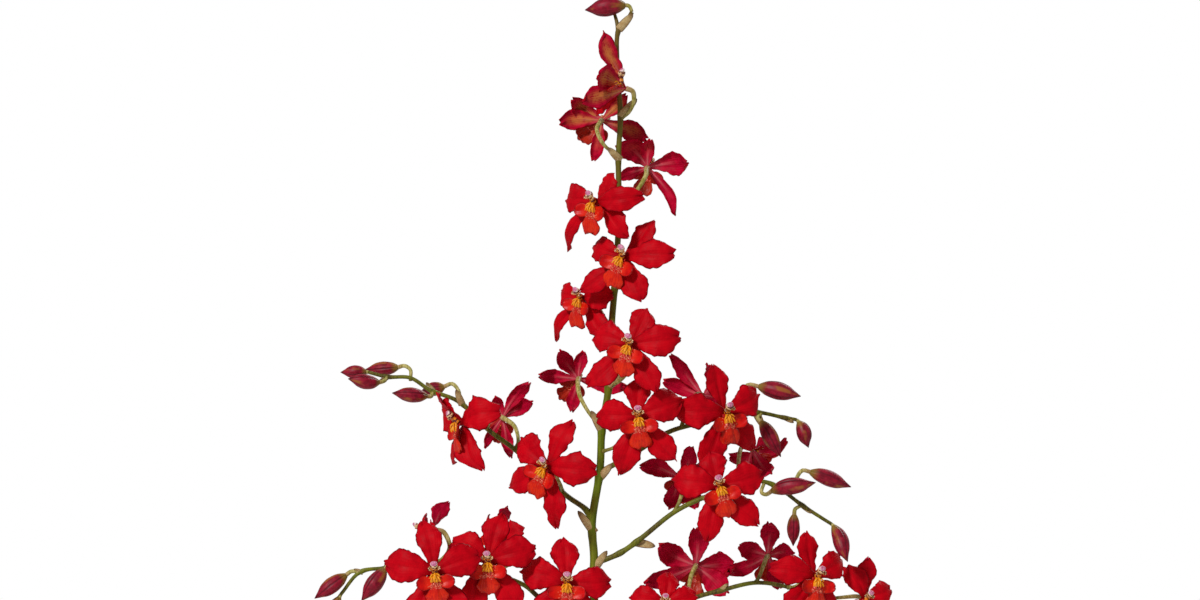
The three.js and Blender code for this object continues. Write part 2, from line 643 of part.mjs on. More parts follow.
function bulbGeometry({ at, height, width, thickness, yaw }, room) {
  const rings = bulbShape.map(([level, share]) => Array.from({ length: bulbSides }, (unused, k) => {
    const angle = (2 * Math.PI * k) / bulbSides;
    return point(
      (share * width * Math.cos(angle)) / 2 + room * Math.cos(angle),
      (share * thickness * Math.sin(angle)) / 2 + room * Math.sin(angle),
      barkLevel - bulbSink + level * height + (level === 0 ? -room : 0));
  }));
  const bulb = loft(rings);
  bulb.rotateZ(radians(yaw));
  bulb.translate(at[0], at[1], 0);
  return bulb;
}

function leafGeometry(growth, { foot, yaw, reach, rise, drop, width }) {
  const base = barkLevel - bulbSink + growth.height * (foot === 1 ? 0.93 : foot);
  const out = point(Math.cos(radians(yaw)), Math.sin(radians(yaw)), 0);
  const start = point(growth.at[0], growth.at[1], base).addScaledVector(out, foot === 1 ? 0 : 9);
  const bend = start.clone().addScaledVector(out, reach * 0.3).add(point(0, 0, rise));
  const end = start.clone().addScaledVector(out, reach).add(point(0, 0, rise - drop));
  const curve = new THREE.QuadraticBezierCurve3(start, bend, end);
  const normals = [];
  const grid = leafShape.map(([at, share]) => {
    const along = curve.getTangent(at);
    const side = along.clone().cross(point(0, 0, 1)).normalize();
    const face = side.clone().cross(along);
    normals.push(face);
    return [-1, 0, 1].map(edge => curve.getPoint(at)
      .addScaledVector(side, (edge * share * width) / 2)
      .addScaledVector(face, Math.abs(edge) * share * width * 0.13));
  });
  return blade(grid, normals, 1.1);
}

for (const [name, growth] of Object.entries(growths)) {
  const leaves = growth.leaves.map(leaf => leafGeometry(growth, leaf));
  place(name, geometryOf(joined([bulbGeometry(growth, 0), ...leaves])), 'growth');
}

// The pot: a plain tapered pot with a collar at its rim

const taper = (potRimRadius - collarStep - potFootRadius) / potHeight;
const outerAt = height => potFootRadius + taper * height;
const innerAt = height => outerAt(height) - potWall;
const profile = [
  [0, 0], [potFootRadius - 1.5, 0], [potFootRadius, 1.5],
  [outerAt(potHeight - collarHeight), potHeight - collarHeight],
  [potRimRadius - 1, potHeight - collarHeight + 1], [potRimRadius, potHeight - 2],
  [potRimRadius - 1.5, potHeight], [innerAt(potHeight) + 1.5, potHeight],
  [innerAt(potHeight), potHeight - 1.5], [innerAt(potFloor), potFloor], [0, potFloor],
];

function turned(outline) {
  const shape = new THREE.LatheGeometry(outline.map(([x, y]) => new THREE.Vector2(x, y)), potSides);
  shape.rotateX(Math.PI / 2);
  return shape;
}

const withoutSeam = shape => closed([...shape.attributes.position.array], [...shape.index.array]);
place('pot', withoutSeam(turned(profile)), 'pot');

// The bark: a filling with loose chips on top, and holes for all that stands in it

const chipTop = barkLevel + 16;
const filling = top => withoutSeam(turned([
  [0, potFloor + seatGap], [innerAt(potFloor) - seatGap, potFloor + seatGap],
  [innerAt(top) - seatGap, top], [0, top],
]));

function chips() {
  const random = seeded(7);
  return chipRings.flatMap(([radius, count]) => Array.from({ length: count }, (unused, k) => {
    const angle = ((k + 0.6 * random()) * 2 * Math.PI) / count;
    const chip = new THREE.BoxGeometry(...chipSize.map(length => length * (0.75 + 0.45 * random())));
    chip.rotateX(0.7 * random() - 0.35);
    chip.rotateY(0.7 * random() - 0.35);
    chip.rotateZ(Math.PI * random());
    chip.translate(radius * Math.cos(angle), radius * Math.sin(angle), barkLevel + 1.5 * random());
    return chip;
  }));
}

const holes = joined([
  stalk(points(stemRoute), stemStations(seatGap), 6),
  ...Object.values(growths).map(growth => bulbGeometry(growth, seatGap)),
]);
const bark = joined([filling(barkLevel), ...chips()]).intersect(solidOf(filling(chipTop))).subtract(holes);
place('bark', geometryOf(mainBody(bark)), 'bark');

export default plant;
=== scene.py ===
import math
import bpy
import numpy as np
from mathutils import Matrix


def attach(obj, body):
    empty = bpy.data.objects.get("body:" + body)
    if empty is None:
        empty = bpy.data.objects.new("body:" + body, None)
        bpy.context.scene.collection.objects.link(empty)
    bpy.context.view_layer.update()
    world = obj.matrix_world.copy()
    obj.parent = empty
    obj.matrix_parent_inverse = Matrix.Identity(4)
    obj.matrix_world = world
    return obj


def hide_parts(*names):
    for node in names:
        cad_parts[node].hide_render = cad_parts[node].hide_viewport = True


# A potted oncidium orchid with one branched spray of red blooms.
# Tables and surfaces are in millimetres, z up, and meshes are in metres.

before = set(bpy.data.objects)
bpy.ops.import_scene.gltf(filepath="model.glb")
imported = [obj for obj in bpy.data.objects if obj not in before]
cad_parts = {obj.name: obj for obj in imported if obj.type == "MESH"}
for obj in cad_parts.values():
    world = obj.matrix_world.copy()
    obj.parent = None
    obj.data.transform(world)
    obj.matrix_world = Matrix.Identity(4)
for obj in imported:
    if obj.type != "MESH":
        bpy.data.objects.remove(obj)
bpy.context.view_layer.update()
metresPerMillimetre = 0.001

# Camera: level, far off and straight in front of the spray

view = {
    "distance": 6.0,
    "height": 0.48,  # of the middle of the picture
    "width": 0.6,  # seen at the spray
    "sensor": 36.0,
}
camera = bpy.data.objects.new("camera", bpy.data.cameras.new("camera"))
camera.data.sensor_width = view["sensor"]
camera.data.lens = view["sensor"] * view["distance"] / view["width"]
camera.data.clip_end = 50.0
camera.location = (0.0, -view["distance"], view["height"])
camera.rotation_euler = (math.pi / 2, 0.0, 0.0)
bpy.context.scene.collection.objects.link(camera)
bpy.context.scene.camera = camera
print("camera placed")


# Points and curves

def unit(vectors):
    return vectors / np.linalg.norm(vectors, axis=-1, keepdims=True)


stepsInSpan = 24


# A smooth curve through the points of a route, evenly divided. Each span is a cubic, and its slopes
# at the ends are the mean of the neighbouring spans' slopes, each over the root of its length.
def smoothPath(route, count):
    route = np.asarray(route, float)
    ends = np.vstack([2 * route[0] - route[1], route, 2 * route[-1] - route[-2]])
    before, start, end, after = ends[:-3], ends[1:-2], ends[2:-1], ends[3:]
    knots = np.sqrt(np.linalg.norm(np.diff(ends, axis=0), axis=1))[:, None]
    first, middle, last = knots[:-2], knots[1:-1], knots[2:]
    slopeIn = middle * ((start - before) / first - (end - before) / (first + middle)
                        + (end - start) / middle)
    slopeOut = middle * ((end - start) / middle - (after - start) / (middle + last)
                         + (after - end) / last)
    t = np.linspace(0, 1, stepsInSpan, endpoint=False)[None, :, None]
    square = 3 * (end - start) - 2 * slopeIn - slopeOut
    cube = 2 * (start - end) + slopeIn + slopeOut
    spans = (start[:, None] + slopeIn[:, None] * t + square[:, None] * t**2 + cube[:, None] * t**3)
    dense = np.vstack([spans.reshape(-1, route.shape[1]), route[-1:]])
    steps = np.linalg.norm(np.diff(dense, axis=0), axis=1)
    travelled = np.concatenate([[0.0], np.cumsum(steps)])
    even = np.linspace(0, travelled[-1], count)
    return np.stack([np.interp(even, travelled, column) for column in dense.T], axis=1)


# Places over a surface: u runs from 0 to 1 along it, and v from -1 to 1 from edge to edge
def grid(rows, columns):
    return np.linspace(0.0, 1.0, rows)[:, None], np.linspace(-1.0, 1.0, columns)[None, :]


# Angles all the way round, as a row
def circle(sides):
    return np.linspace(0, 2 * math.pi, sides, endpoint=False)[None, :]


# Rises from 0 at one end to 1 in the middle, and falls to 0 at the other end
def hump(share):
    return np.sin(math.pi * share)


# A sine that turns this many times over the whole
def wave(share, turns, phase):
    return np.sin(2 * math.pi * turns * share + phase)


# 1 in the middle, falling off to both sides as a bell
def bell(offset, width):
    return np.exp(-((offset / width) ** 2))


tableSteps = 200


# The value at each place of a table of (place, value) rows, on a smooth curve through them
def profileOf(rows, places):
    curve = smoothPath(rows, tableSteps)
    return np.interp(places, curve[:, 0], curve[:, 1])


# A tube: at each point of the path, a ring of the given radius, square to the path. A ripple of
# shape (rings, sides) scales the radius round the ring.
def tube(path, radii, sides, ripple=1.0):
    onward = unit(np.gradient(path, axis=0))
    spare = np.linalg.svd(onward)[2][-1]
    across = unit(np.cross(onward, spare))
    third = np.cross(onward, across)
    angle = circle(sides)
    reach = np.broadcast_to(radii, len(path))[:, None] * ripple * np.ones_like(angle)
    return (path[:, None] + (reach * np.cos(angle))[..., None] * across[:, None]
            + (reach * np.sin(angle))[..., None] * third[:, None])


# A skin over a sheet of points: half the thickness to the front and half to the back along the
# sheet's normal, thinning to its side edges. A row of the skin is the front from edge to edge and
# then the back. Seen from the front, rows advance upwards and points from left to right.
def skinOf(sheet, thickness, rim):
    normal = unit(np.cross(np.gradient(sheet, axis=1), np.gradient(sheet, axis=0)))
    across = np.linspace(-1, 1, sheet.shape[1])
    depth = (thickness / 2) * (rim + (1 - rim) * (1 - across**6))[None, :, None]
    front = sheet + normal * depth
    back = sheet - normal * depth
    return np.concatenate([front, back[:, -2:0:-1]], axis=1)


def skinAround(columns):
    across = np.linspace(0, 1, columns)
    return np.concatenate([across, across[-2:0:-1], across[:1]])


def skinFront(columns):
    return np.concatenate([np.ones(columns), np.zeros(columns - 2)])


# Gathers closed surfaces, and makes one object of them. Rings run counter-clockwise about the way
# they advance. The piece's own map holds how far round and how far along a point lies, and its
# tone is a number of its own: the front of a blade, or how far out on a stalk.
class Piece:
    def __init__(self, name):
        self.name = name
        self.count = 0
        self.points = []
        self.tones = []
        self.faces = {3: [], 4: []}
        self.maps = {3: [], 4: []}
        self.slots = {3: [], 4: []}

    def addFaces(self, corners, places, slot):
        size = corners.shape[1]
        self.faces[size].append(corners)
        self.maps[size].append(places)
        self.slots[size].append(np.full(len(corners), slot))

    def add(self, rings, around=None, along=None, tone=0.0, slot=0):
        rows, columns = rings.shape[:2]
        if around is None:
            around = np.linspace(0, 1, columns + 1)
        if along is None:
            along = np.linspace(0, 1, rows)
        number = self.count + np.arange(rows * columns).reshape(rows, columns)
        wrapped = np.concatenate([number, number[:, :1]], axis=1)
        place = np.stack(np.broadcast_arrays(np.atleast_2d(around), along[:, None]), axis=-1)
        self.addFaces(
            np.stack([wrapped[:-1, :-1], wrapped[:-1, 1:], wrapped[1:, 1:], wrapped[1:, :-1]],
                     axis=-1).reshape(-1, 4),
            np.stack([place[:-1, :-1], place[:-1, 1:], place[1:, 1:], place[1:, :-1]],
                     axis=2).reshape(-1, 4, 2), slot)
        for row, pole in ((0, self.count + rows * columns), (-1, self.count + rows * columns + 1)):
            ring = wrapped[row]
            spot = place[row]
            centre = np.full(columns, pole)
            middle = (spot[:-1] + spot[1:]) / 2
            order = [centre, ring[1:], ring[:-1]] if row == 0 else [centre, ring[:-1], ring[1:]]
            spots = [middle, spot[1:], spot[:-1]] if row == 0 else [middle, spot[:-1], spot[1:]]
            self.addFaces(np.stack(order, axis=1), np.stack(spots, axis=1), slot)
        self.points.append(rings.reshape(-1, 3))
        self.points.append(rings[[0, -1]].mean(axis=1))
        tones = np.broadcast_to(tone, (rows, columns))
        self.tones.append(tones.reshape(-1))
        self.tones.append(tones[[0, -1]].mean(axis=1))
        self.count += rows * columns + 2

    def addBlade(self, sheet, thickness, slot=0, rim=0.12):
        columns = sheet.shape[1]
        self.add(skinOf(sheet, thickness, rim), skinAround(columns), None,
                 skinFront(columns)[None, :], slot)

    def build(self, materials, recordSlot, *nodes):
        points = np.concatenate(self.points) * metresPerMillimetre
        sizes = [size for size in (4, 3) if self.faces[size]]
        corners = [np.concatenate(self.faces[size]) for size in sizes]
        totals = np.concatenate([np.full(len(part), part.shape[1]) for part in corners])
        mesh = bpy.data.meshes.new(self.name)
        mesh.vertices.add(len(points))
        mesh.vertices.foreach_set("co", points.astype(np.float32).ravel())
        mesh.loops.add(int(totals.sum()))
        mesh.loops.foreach_set(
            "vertex_index", np.concatenate([part.ravel() for part in corners]).astype(np.int32))
        mesh.polygons.add(len(totals))
        starts = np.concatenate([[0], np.cumsum(totals)[:-1]]).astype(np.int32)
        mesh.polygons.foreach_set("loop_start", starts)
        slots = np.concatenate([np.concatenate(self.slots[size]) for size in sizes])
        mesh.polygons.foreach_set("material_index", slots.astype(np.int32))
        mesh.update(calc_edges=True)
        places = np.concatenate([np.concatenate(self.maps[size]).reshape(-1) for size in sizes])
        mesh.uv_layers.new(name="surface").data.foreach_set("uv", places.astype(np.float32))
        tones = mesh.attributes.new("tone", "FLOAT", "POINT")
        tones.data.foreach_set("value", np.concatenate(self.tones).astype(np.float32))
        mesh.shade_smooth()
        for material in materials:
            mesh.materials.append(material)
        made = bpy.data.objects.new(self.name, mesh)
        bpy.context.scene.collection.objects.link(made)
        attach(made, "root")
        if nodes:
            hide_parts(*nodes)


# Materials

# A colour from its screen values of 0 to 255
def paint(*screen):
    share = np.array(screen) / 255
    linear = np.where(share <= 0.04045, share / 12.92, ((share + 0.055) / 1.055) ** 2.4)
    return (*linear.tolist(), 1.0)


# One output in a material. Arithmetic on wires adds Math nodes.
class Wire:
    def __init__(self, finish, socket):
        self.finish = finish
        self.socket = socket

    def maths(self, operation, *values):
        return self.finish.node(
            "ShaderNodeMath", {"operation": operation}, dict(enumerate(values)))

    def __add__(self, other):
        return self.maths("ADD", self, other)

    def __radd__(self, other):
        return self.maths("ADD", other, self)

    def __sub__(self, other):
        return self.maths("SUBTRACT", self, other)

    def __rsub__(self, other):
        return self.maths("SUBTRACT", other, self)

    def __mul__(self, other):
        return self.maths("MULTIPLY", self, other)

    def __rmul__(self, other):
        return self.maths("MULTIPLY", other, self)

    def __pow__(self, other):
        return self.maths("POWER", self, other)

    def __abs__(self):
        return self.maths("ABSOLUTE", self)

    def sine(self):
        return self.maths("SINE", self)


class Finish:
    def __init__(self, name, specular=0.5, coat=0.0, coatRoughness=0.03):
        self.material = bpy.data.materials.new(name)
        self.material.use_nodes = True
        self.tree = self.material.node_tree
        self.shader = self.tree.nodes["Principled BSDF"]
        self.shader.inputs["Specular IOR Level"].default_value = specular
        self.shader.inputs["Coat Weight"].default_value = coat
        self.shader.inputs["Coat Roughness"].default_value = coatRoughness
        self.places = self.node("ShaderNodeTexCoord", output="Object")
        both = self.node("ShaderNodeUVMap", {"uv_map": "surface"})
        self.around = self.node("ShaderNodeSeparateXYZ", {}, {0: both})
        self.along = self.node("ShaderNodeSeparateXYZ", {}, {0: both}, 1)
        self.across = self.around * 2 - 1
        self.tone = self.node("ShaderNodeAttribute", {"attribute_name": "tone"}, {}, "Fac")

    def node(self, kind, settings={}, inputs={}, output=0):
        made = self.tree.nodes.new(kind)
        for key, value in settings.items():
            setattr(made, key, value)
        for key, value in inputs.items():
            if isinstance(value, Wire):
                self.tree.links.new(value.socket, made.inputs[key])
            else:
                made.inputs[key].default_value = value
        return Wire(self, made.outputs[output])

    # From the first colour to the second, each a wire or its screen values
    def mix(self, amount, first, second):
        first, second = (part if isinstance(part, Wire) else paint(*part) for part in (first, second))
        return self.node("ShaderNodeMix", {"data_type": "RGBA"}, {0: amount, 6: first, 7: second}, 2)

    # Colours laid over a ground, each with the amount of it
    def layers(self, ground, *over):
        for amount, colour in over:
            ground = self.mix(amount, ground, colour)
        return ground

    def height(self):
        return self.node("ShaderNodeSeparateXYZ", {}, {0: self.places}, 2)

    # Rises smoothly from 0 at the low value to 1 at the high one
    def ease(self, value, low, high):
        return self.node("ShaderNodeMapRange", {"interpolation_type": "SMOOTHSTEP"},
                         {"Value": value, "From Min": low, "From Max": high})

    # Noise with lumps about as large as the given size in millimetres, stretched along x, y and z
    def noise(self, size, detail=2.0, roughness=0.5, stretch=(1, 1, 1)):
        scaled = self.node("ShaderNodeMapping", {}, {
            "Vector": self.places, "Scale": tuple(1000 / (size * part) for part in stretch)})
        return self.node("ShaderNodeTexNoise", {}, {
            "Vector": scaled, "Scale": 1.0, "Detail": detail, "Roughness": roughness})

    # How far a point lies from the nearest of seeds about as far apart as the given millimetres
    def cells(self, size):
        return self.node("ShaderNodeTexVoronoi", {}, {"Vector": self.places, "Scale": 1000 / size})

    # Ends a material with its colour, its roughness, and a relief as many millimetres high as given
    def show(self, colour, roughness, relief, millimetres):
        bump = self.node("ShaderNodeBump", {}, {
            "Height": relief, "Strength": 1.0, "Distance": millimetres * metresPerMillimetre})
        for socket, wire in (("Base Color", colour), ("Roughness", roughness), ("Normal", bump)):
            self.tree.links.new(wire.socket, self.shader.inputs[socket])
        return self.material


def petalFinish():
    f = Finish("petal", specular=0.06)
    drift = f.noise(9.0, 3.0, 0.55)
    mottle = f.ease(f.noise(2.6, 4.0, 0.6), 0.3, 0.7)
    grain = f.noise(0.4, 2.0)
    height = f.height()
    lines = (f.across * 36 + drift * 9).sine() * 0.5 + 0.5
    veins = f.ease(lines, 0.55, 1.0) * (1 - abs(f.across) ** 3)
    # the band along the edges, where painted shade darkens both front and back
    rim = f.ease(abs(f.across), 0.84, 1.0)
    front = f.layers(
        f.mix(mottle, (180, 0, 18), (202, 0, 21)),
        (f.ease(drift, 0.4, 0.7) * 0.55, (219, 3, 22)),
        (veins * 0.1, (150, 0, 12)),
        # painted shade: darker down the middle line, in the crease
        (f.ease(abs(f.across), 0.1, 0.0) * 0.25, (160, 0, 12)),
        # painted shade: darker along the edges and towards the tip
        (rim * 0.7, (146, 0, 20)),
        (f.ease(f.along, 0.86, 1.0) * 0.4, (140, 0, 20)),
        # painted shadow: the front darkens towards its foot, under the lip and column
        (f.ease(f.along, 0.3, 0.05) * 0.6, (124, 0, 6)))
    streak = f.ease(abs(f.across), 0.22, 0.02) * f.ease(f.along, 0.7, 0.1)
    back = f.layers(
        f.mix(mottle, (168, 0, 36), (202, 6, 52)),
        (veins * 0.2, (214, 50, 92)),
        (f.ease(f.along + drift * 0.2, 0.5, 0.12) * 0.6, (226, 84, 106)),
        (streak * 0.5, (228, 136, 138)))
    middle = f.ease(abs(f.across), 0.75, 0.1) * f.ease(f.along, 1.0, 0.6)
    young = f.ease(height, 0.55, 0.575) * middle  # the topmost blooms are tawny behind
    back = f.layers(
        back,
        (young * f.ease(mottle + lines * 0.5, 0.0, 1.0) * 0.75, (206, 132, 62)),
        # painted shade along the edges of the back
        (rim * 0.5, (132, 0, 22)))
    return f.show(
        f.mix(f.tone, back, front),
        0.36 + mottle * 0.16 + grain * 0.14, lines * 0.15 + mottle * 0.3 + grain * 0.25, 0.2)


def lipFinish():
    f = Finish("lip", specular=0.22)
    drift = f.noise(3.2, 3.0, 0.55)
    grain = f.noise(0.5, 2.0)
    rim = f.ease(abs(f.across), 0.84, 1.0)
    lines = (f.across * 26 + drift * 8).sine() * 0.5 + 0.5
    front = f.layers(
        f.mix(f.ease(f.along, 0.3, 0.75), (186, 8, 14), (234, 44, 10)),
        (f.ease(drift, 0.42, 0.62) * 0.7, (206, 12, 8)),
        (lines * 0.25, (170, 2, 6)))
    belt = f.ease(f.along, 0.62, 0.5) * f.ease(f.along, 0.3, 0.4)
    flecks = f.ease(f.cells(1.2), 0.32, 0.16) * belt
    front = f.layers(
        front,
        (flecks * 0.75, (244, 150, 132)),
        (rim * 0.6, (140, 2, 8)),
        (f.ease(f.along, 0.94, 1.0) * 0.6, (150, 4, 8)))
    back = f.mix(drift, (176, 26, 20), (196, 58, 34))
    return f.show(
        f.mix(f.tone, back, front),
        0.26 + grain * 0.2, lines * 0.25 + drift + grain * 0.3, 0.25)


# The side lobes are as red as the petals, glossy, and darkened by painted shade where they meet the
# middle lobe
def sideLobeFinish():
    f = Finish("sideLobe", specular=0.16)
    drift = f.noise(3.0, 3.0, 0.55)
    red = f.layers(
        f.mix(f.ease(drift, 0.35, 0.65), (190, 2, 8), (220, 12, 10)),
        (f.ease(f.along, 0.75, 0.35) * 0.6, (232, 44, 14)),
        # painted shade: darker along the edges and at the outer end
        (f.ease(abs(f.across), 0.78, 1.0) * 0.7, (134, 0, 12)),
        (f.ease(f.along, 0.9, 1.0) * 0.7, (134, 0, 12)))
    flecks = f.ease(f.cells(1.1), 0.3, 0.14) * f.ease(f.along, 0.5, 0.3)
    red = f.mix(flecks * 0.7, red, (244, 160, 120))
    return f.show(f.mix(f.tone, (180, 34, 24), red), 0.24 + drift * 0.2, drift, 0.2)


# Cream, crossed by gold and by dark bars
def columnFinish():
    f = Finish("column", specular=0.4)
    drift = f.noise(1.4, 3.0)
    bars = (f.along * 17 + f.across * 2 + drift * 8).sine()
    ground = f.layers(
        f.mix(f.ease(f.along + drift * 0.3, 0.95, 0.6), (246, 204, 150), (236, 140, 26)),
        (f.ease(bars, -0.1, 0.25), (104, 14, 6)))
    spots = f.ease(f.cells(0.8), 0.24, 0.14)
    return f.show(
        f.mix(spots * 0.5, ground, (250, 222, 180)),
        0.3 + drift * 0.15, drift + spots * 0.5, 0.12)


def capFinish():
    f = Finish("cap", specular=0.4, coat=0.15, coatRoughness=0.25)
    drift = f.noise(0.9, 3.0)
    top = f.mix(f.ease(drift, 0.35, 0.65), (196, 84, 130), (226, 150, 180))
    return f.show(
        f.mix(f.ease(f.along + drift * 0.16, 0.92, 0.74), top, (246, 222, 216)),
        0.28 + drift * 0.16, drift, 0.1)


def callusFinish():
    f = Finish("callus", specular=0.35, coat=0.12, coatRoughness=0.25)
    drift = f.noise(1.2, 3.0)
    dots = f.ease(f.cells(0.9), 0.3, 0.18) * f.ease(f.along, 0.3, 0.14)
    wax = f.layers(
        f.mix(f.ease(f.along, 0.0, 0.2), (228, 120, 24), (246, 164, 18)),
        (f.ease(drift, 0.45, 0.7) * 0.5, (234, 124, 14)))
    grains = f.ease(f.cells(0.6) + drift * 0.4, 0.75, 0.35)
    ridge = f.mix(grains, (200, 34, 20), (244, 150, 110))
    wax = f.mix(f.ease(f.along, 0.56, 0.62), wax, ridge)
    return f.show(
        f.mix(dots * 0.7, wax, (104, 26, 12)),
        0.28 + drift * 0.2, drift + dots * 0.4, 0.15)


def stemFinish():
    f = Finish("stem", specular=0.25)
    streaks = f.noise(1.1, 3.0, 0.6, (1, 1, 9))
    drift = f.noise(16.0, 2.0)
    specks = f.ease(f.cells(1.7), 0.2, 0.1)
    height = f.height()
    green = f.layers(
        f.mix(f.ease(streaks, 0.3, 0.7), (82, 100, 4), (114, 132, 14)),
        (f.ease(drift, 0.45, 0.7) * 0.4, (138, 128, 30)),
        (f.ease(height + drift * 0.1, 0.46, 0.66) * 0.65, (112, 66, 34)))
    brown = f.mix(f.ease(streaks, 0.35, 0.65), (70, 48, 16), (112, 98, 30))
    green = f.mix(f.ease(f.tone, 0.0, 0.25) * f.ease(drift, 0.75, 0.4) * 0.85, green, brown)
    pale = f.mix(f.ease(streaks, 0.35, 0.65), (144, 138, 48), (204, 190, 122))
    blush = f.mix(f.ease(f.tone, 1.4, 2.0), pale, (186, 132, 104))
    green = f.mix(f.ease(f.tone, 0.5, 1.1), green, blush)
    return f.show(
        f.mix(specks * 0.45, green, (96, 52, 26)),
        0.38 + streaks * 0.22, streaks + specks * 0.3, 0.16)


def bractFinish():
    f = Finish("bract", specular=0.3)
    fibres = (f.across * 30 + f.noise(2.0) * 4).sine() * 0.5 + 0.5
    patches = f.noise(1.8, 4.0, 0.65)
    dry = f.layers(
        f.mix(f.ease(patches, 0.35, 0.65), (216, 190, 136), (196, 160, 104)),
        (fibres * 0.3, (156, 116, 66)))
    edge = f.ease(abs(f.across), 0.72, 1.0)
    dry = f.mix(edge * 0.8, dry, (120, 66, 36))
    return f.show(
        f.mix(f.ease(f.along, 0.7, 1.0) * 0.7, dry, (104, 62, 38)),
        0.6 + patches * 0.25, fibres + patches, 0.16)


def budFinish():
    f = Finish("bud", specular=0.22)
    drift = f.noise(2.4, 3.0, 0.6)
    ribs = abs((f.around * (3 * math.pi) + 0.7).sine())  # 1 on each sepal's middle line
    fine = (f.around * 90 + drift * 5).sine() * 0.5 + 0.5
    skin = f.mix(f.ease(drift, 0.3, 0.7), (112, 4, 28), (156, 14, 44))
    patchy = f.ease(f.noise(7.0), 0.42, 0.58)
    skin = f.layers(
        skin,
        (f.ease(ribs, 0.86, 0.99) * patchy * 0.75, (166, 104, 40)),
        (f.ease(ribs, 0.25, 0.04) * 0.7, (70, 0, 18)),
        (fine * 0.12, (180, 50, 72)),
        (f.ease(f.along, 0.22, 0.02) * 0.8, (140, 120, 44)))
    return f.show(
        f.mix(f.ease(f.along, 0.82, 1.0) * 0.7, skin, (74, 2, 20)),
        0.34 + drift * 0.2, f.ease(ribs, 0.0, 0.35) * 2 + fine * 0.3 + drift * 0.5, 0.14)


def leafFinish():
    f = Finish("leaf", specular=0.45, coat=0.12, coatRoughness=0.3)
    drift = f.noise(14.0, 3.0, 0.55)
    patches = f.noise(3.5, 4.0, 0.6)
    veins = (f.across * 62 + drift * 2).sine() * 0.5 + 0.5
    midrib = f.ease(abs(f.across), 0.07, 0.01)
    front = f.layers(
        f.mix(f.ease(drift, 0.3, 0.7), (62, 98, 26), (92, 126, 42)),
        (f.ease(patches, 0.5, 0.75) * 0.35, (122, 146, 58)),
        (veins * 0.12, (44, 78, 20)),
        (midrib * 0.6, (136, 158, 74)))
    back = f.layers(
        f.mix(f.ease(drift, 0.3, 0.7), (112, 138, 62), (132, 152, 78)),
        (veins * 0.2, (92, 118, 48)),
        (midrib * 0.7, (164, 178, 104)))
    skin = f.layers(
        f.mix(f.tone, back, front),
        (f.ease(abs(f.across), 0.93, 1.0) * 0.5, (156, 160, 84)))
    dry = f.ease(f.along + patches * 0.06, 0.97, 1.02)
    skin = f.mix(f.ease(f.along + patches * 0.12, 0.88, 1.0) * 0.5, skin, (170, 158, 70))
    return f.show(
        f.mix(dry * 0.85, skin, (112, 74, 40)),
        0.34 + patches * 0.18, veins * 0.5 + patches * 0.5, 0.2)


def bulbFinish():
    f = Finish("bulb", specular=0.45, coat=0.1, coatRoughness=0.3)
    drift = f.noise(12.0, 3.0)
    streaks = f.noise(2.2, 4.0, 0.6, (1, 1, 7))
    specks = f.ease(f.cells(2.4), 0.2, 0.08)
    skin = f.layers(
        f.mix(f.ease(drift, 0.3, 0.7), (104, 128, 44), (134, 150, 66)),
        (f.ease(streaks, 0.45, 0.7) * 0.5, (158, 162, 88)),
        (f.ease(f.along + drift * 0.2, 0.42, 0.2) * 0.7, (136, 112, 62)))
    return f.show(
        f.mix(specks * 0.5, skin, (92, 66, 38)),
        0.36 + streaks * 0.2, streaks + drift, 0.35)


def rootFinish():
    f = Finish("root", specular=0.3)
    drift = f.noise(3.0, 4.0, 0.6)
    skin = f.mix(f.ease(drift, 0.35, 0.7), (196, 196, 176), (150, 152, 124))
    return f.show(
        f.mix(f.ease(f.along, 0.9, 0.98), skin, (116, 138, 54)),
        0.6 + drift * 0.25, drift, 0.3)


def barkFinish():
    f = Finish("bark", specular=0.25)
    layers = f.noise(3.2, 5.0, 0.65, (2.5, 1, 0.6))
    grain = f.noise(0.9, 4.0, 0.7)
    pale = f.noise(7.0, 3.0)
    wood = f.layers(
        f.mix(f.ease(layers, 0.3, 0.7), (66, 38, 24), (128, 82, 52)),
        (f.tone * 0.75, (150, 104, 70)),
        (f.ease(grain, 0.52, 0.72) * 0.5, (44, 26, 18)))
    return f.show(
        f.mix(f.ease(pale, 0.6, 0.75) * 0.4, wood, (172, 144, 110)),
        0.78 + grain * 0.2, layers * 1.5 + grain, 0.9)


def clayFinish():
    f = Finish("clay", specular=0.3)
    drift = f.noise(34.0, 4.0, 0.6)
    grit = f.noise(0.8, 3.0, 0.7)
    turning = f.noise(2.6, 2.0, 0.5, (14, 14, 1))
    height = f.height()
    clay = f.layers(
        f.mix(f.ease(drift, 0.3, 0.7), (170, 92, 56), (192, 112, 72)),
        (f.ease(turning, 0.45, 0.65) * 0.3, (150, 76, 44)),
        (f.ease(grit, 0.6, 0.72) * 0.35, (216, 158, 122)),
        (f.ease(grit, 0.38, 0.28) * 0.4, (122, 60, 38)))
    bloomed = f.ease(f.noise(9.0, 5.0, 0.65) + f.ease(height, 0.05, 0.0) * 0.16, 0.56, 0.72)
    return f.show(
        f.mix(bloomed * 0.45, clay, (222, 198, 178)),
        0.74 + grit * 0.2, grit * 0.6 + turning, 0.35)


finishes = {
    "petal": petalFinish(), "lip": lipFinish(), "sideLobe": sideLobeFinish(),
    "column": columnFinish(), "cap": capFinish(), "callus": callusFinish(),
    "stem": stemFinish(), "bract": bractFinish(), "bud": budFinish(),
    "leaf": leafFinish(), "bulb": bulbFinish(), "root": rootFinish(), "bark": barkFinish(),
    "clay": clayFinish(),
}
print("materials made")

# Blooms
#
# at: the middle of the bloom. turn: where it looks, 0 at the viewer, 90 to the right, 180 away.
# tilt: how far it looks up. tips: how far right and up each tip lies from the middle, in the order
# dorsal sepal, right petal, left petal, right sepal, left sepal. A third number is how far back it
# lies, where the bloom's own plane doesn't give it. widths: of the sepals and petals in the same
# order, as shares of the usual. twists: how far the tips are turned about their own length, in
# degrees. stem: the route of its stalk up to the bloom.

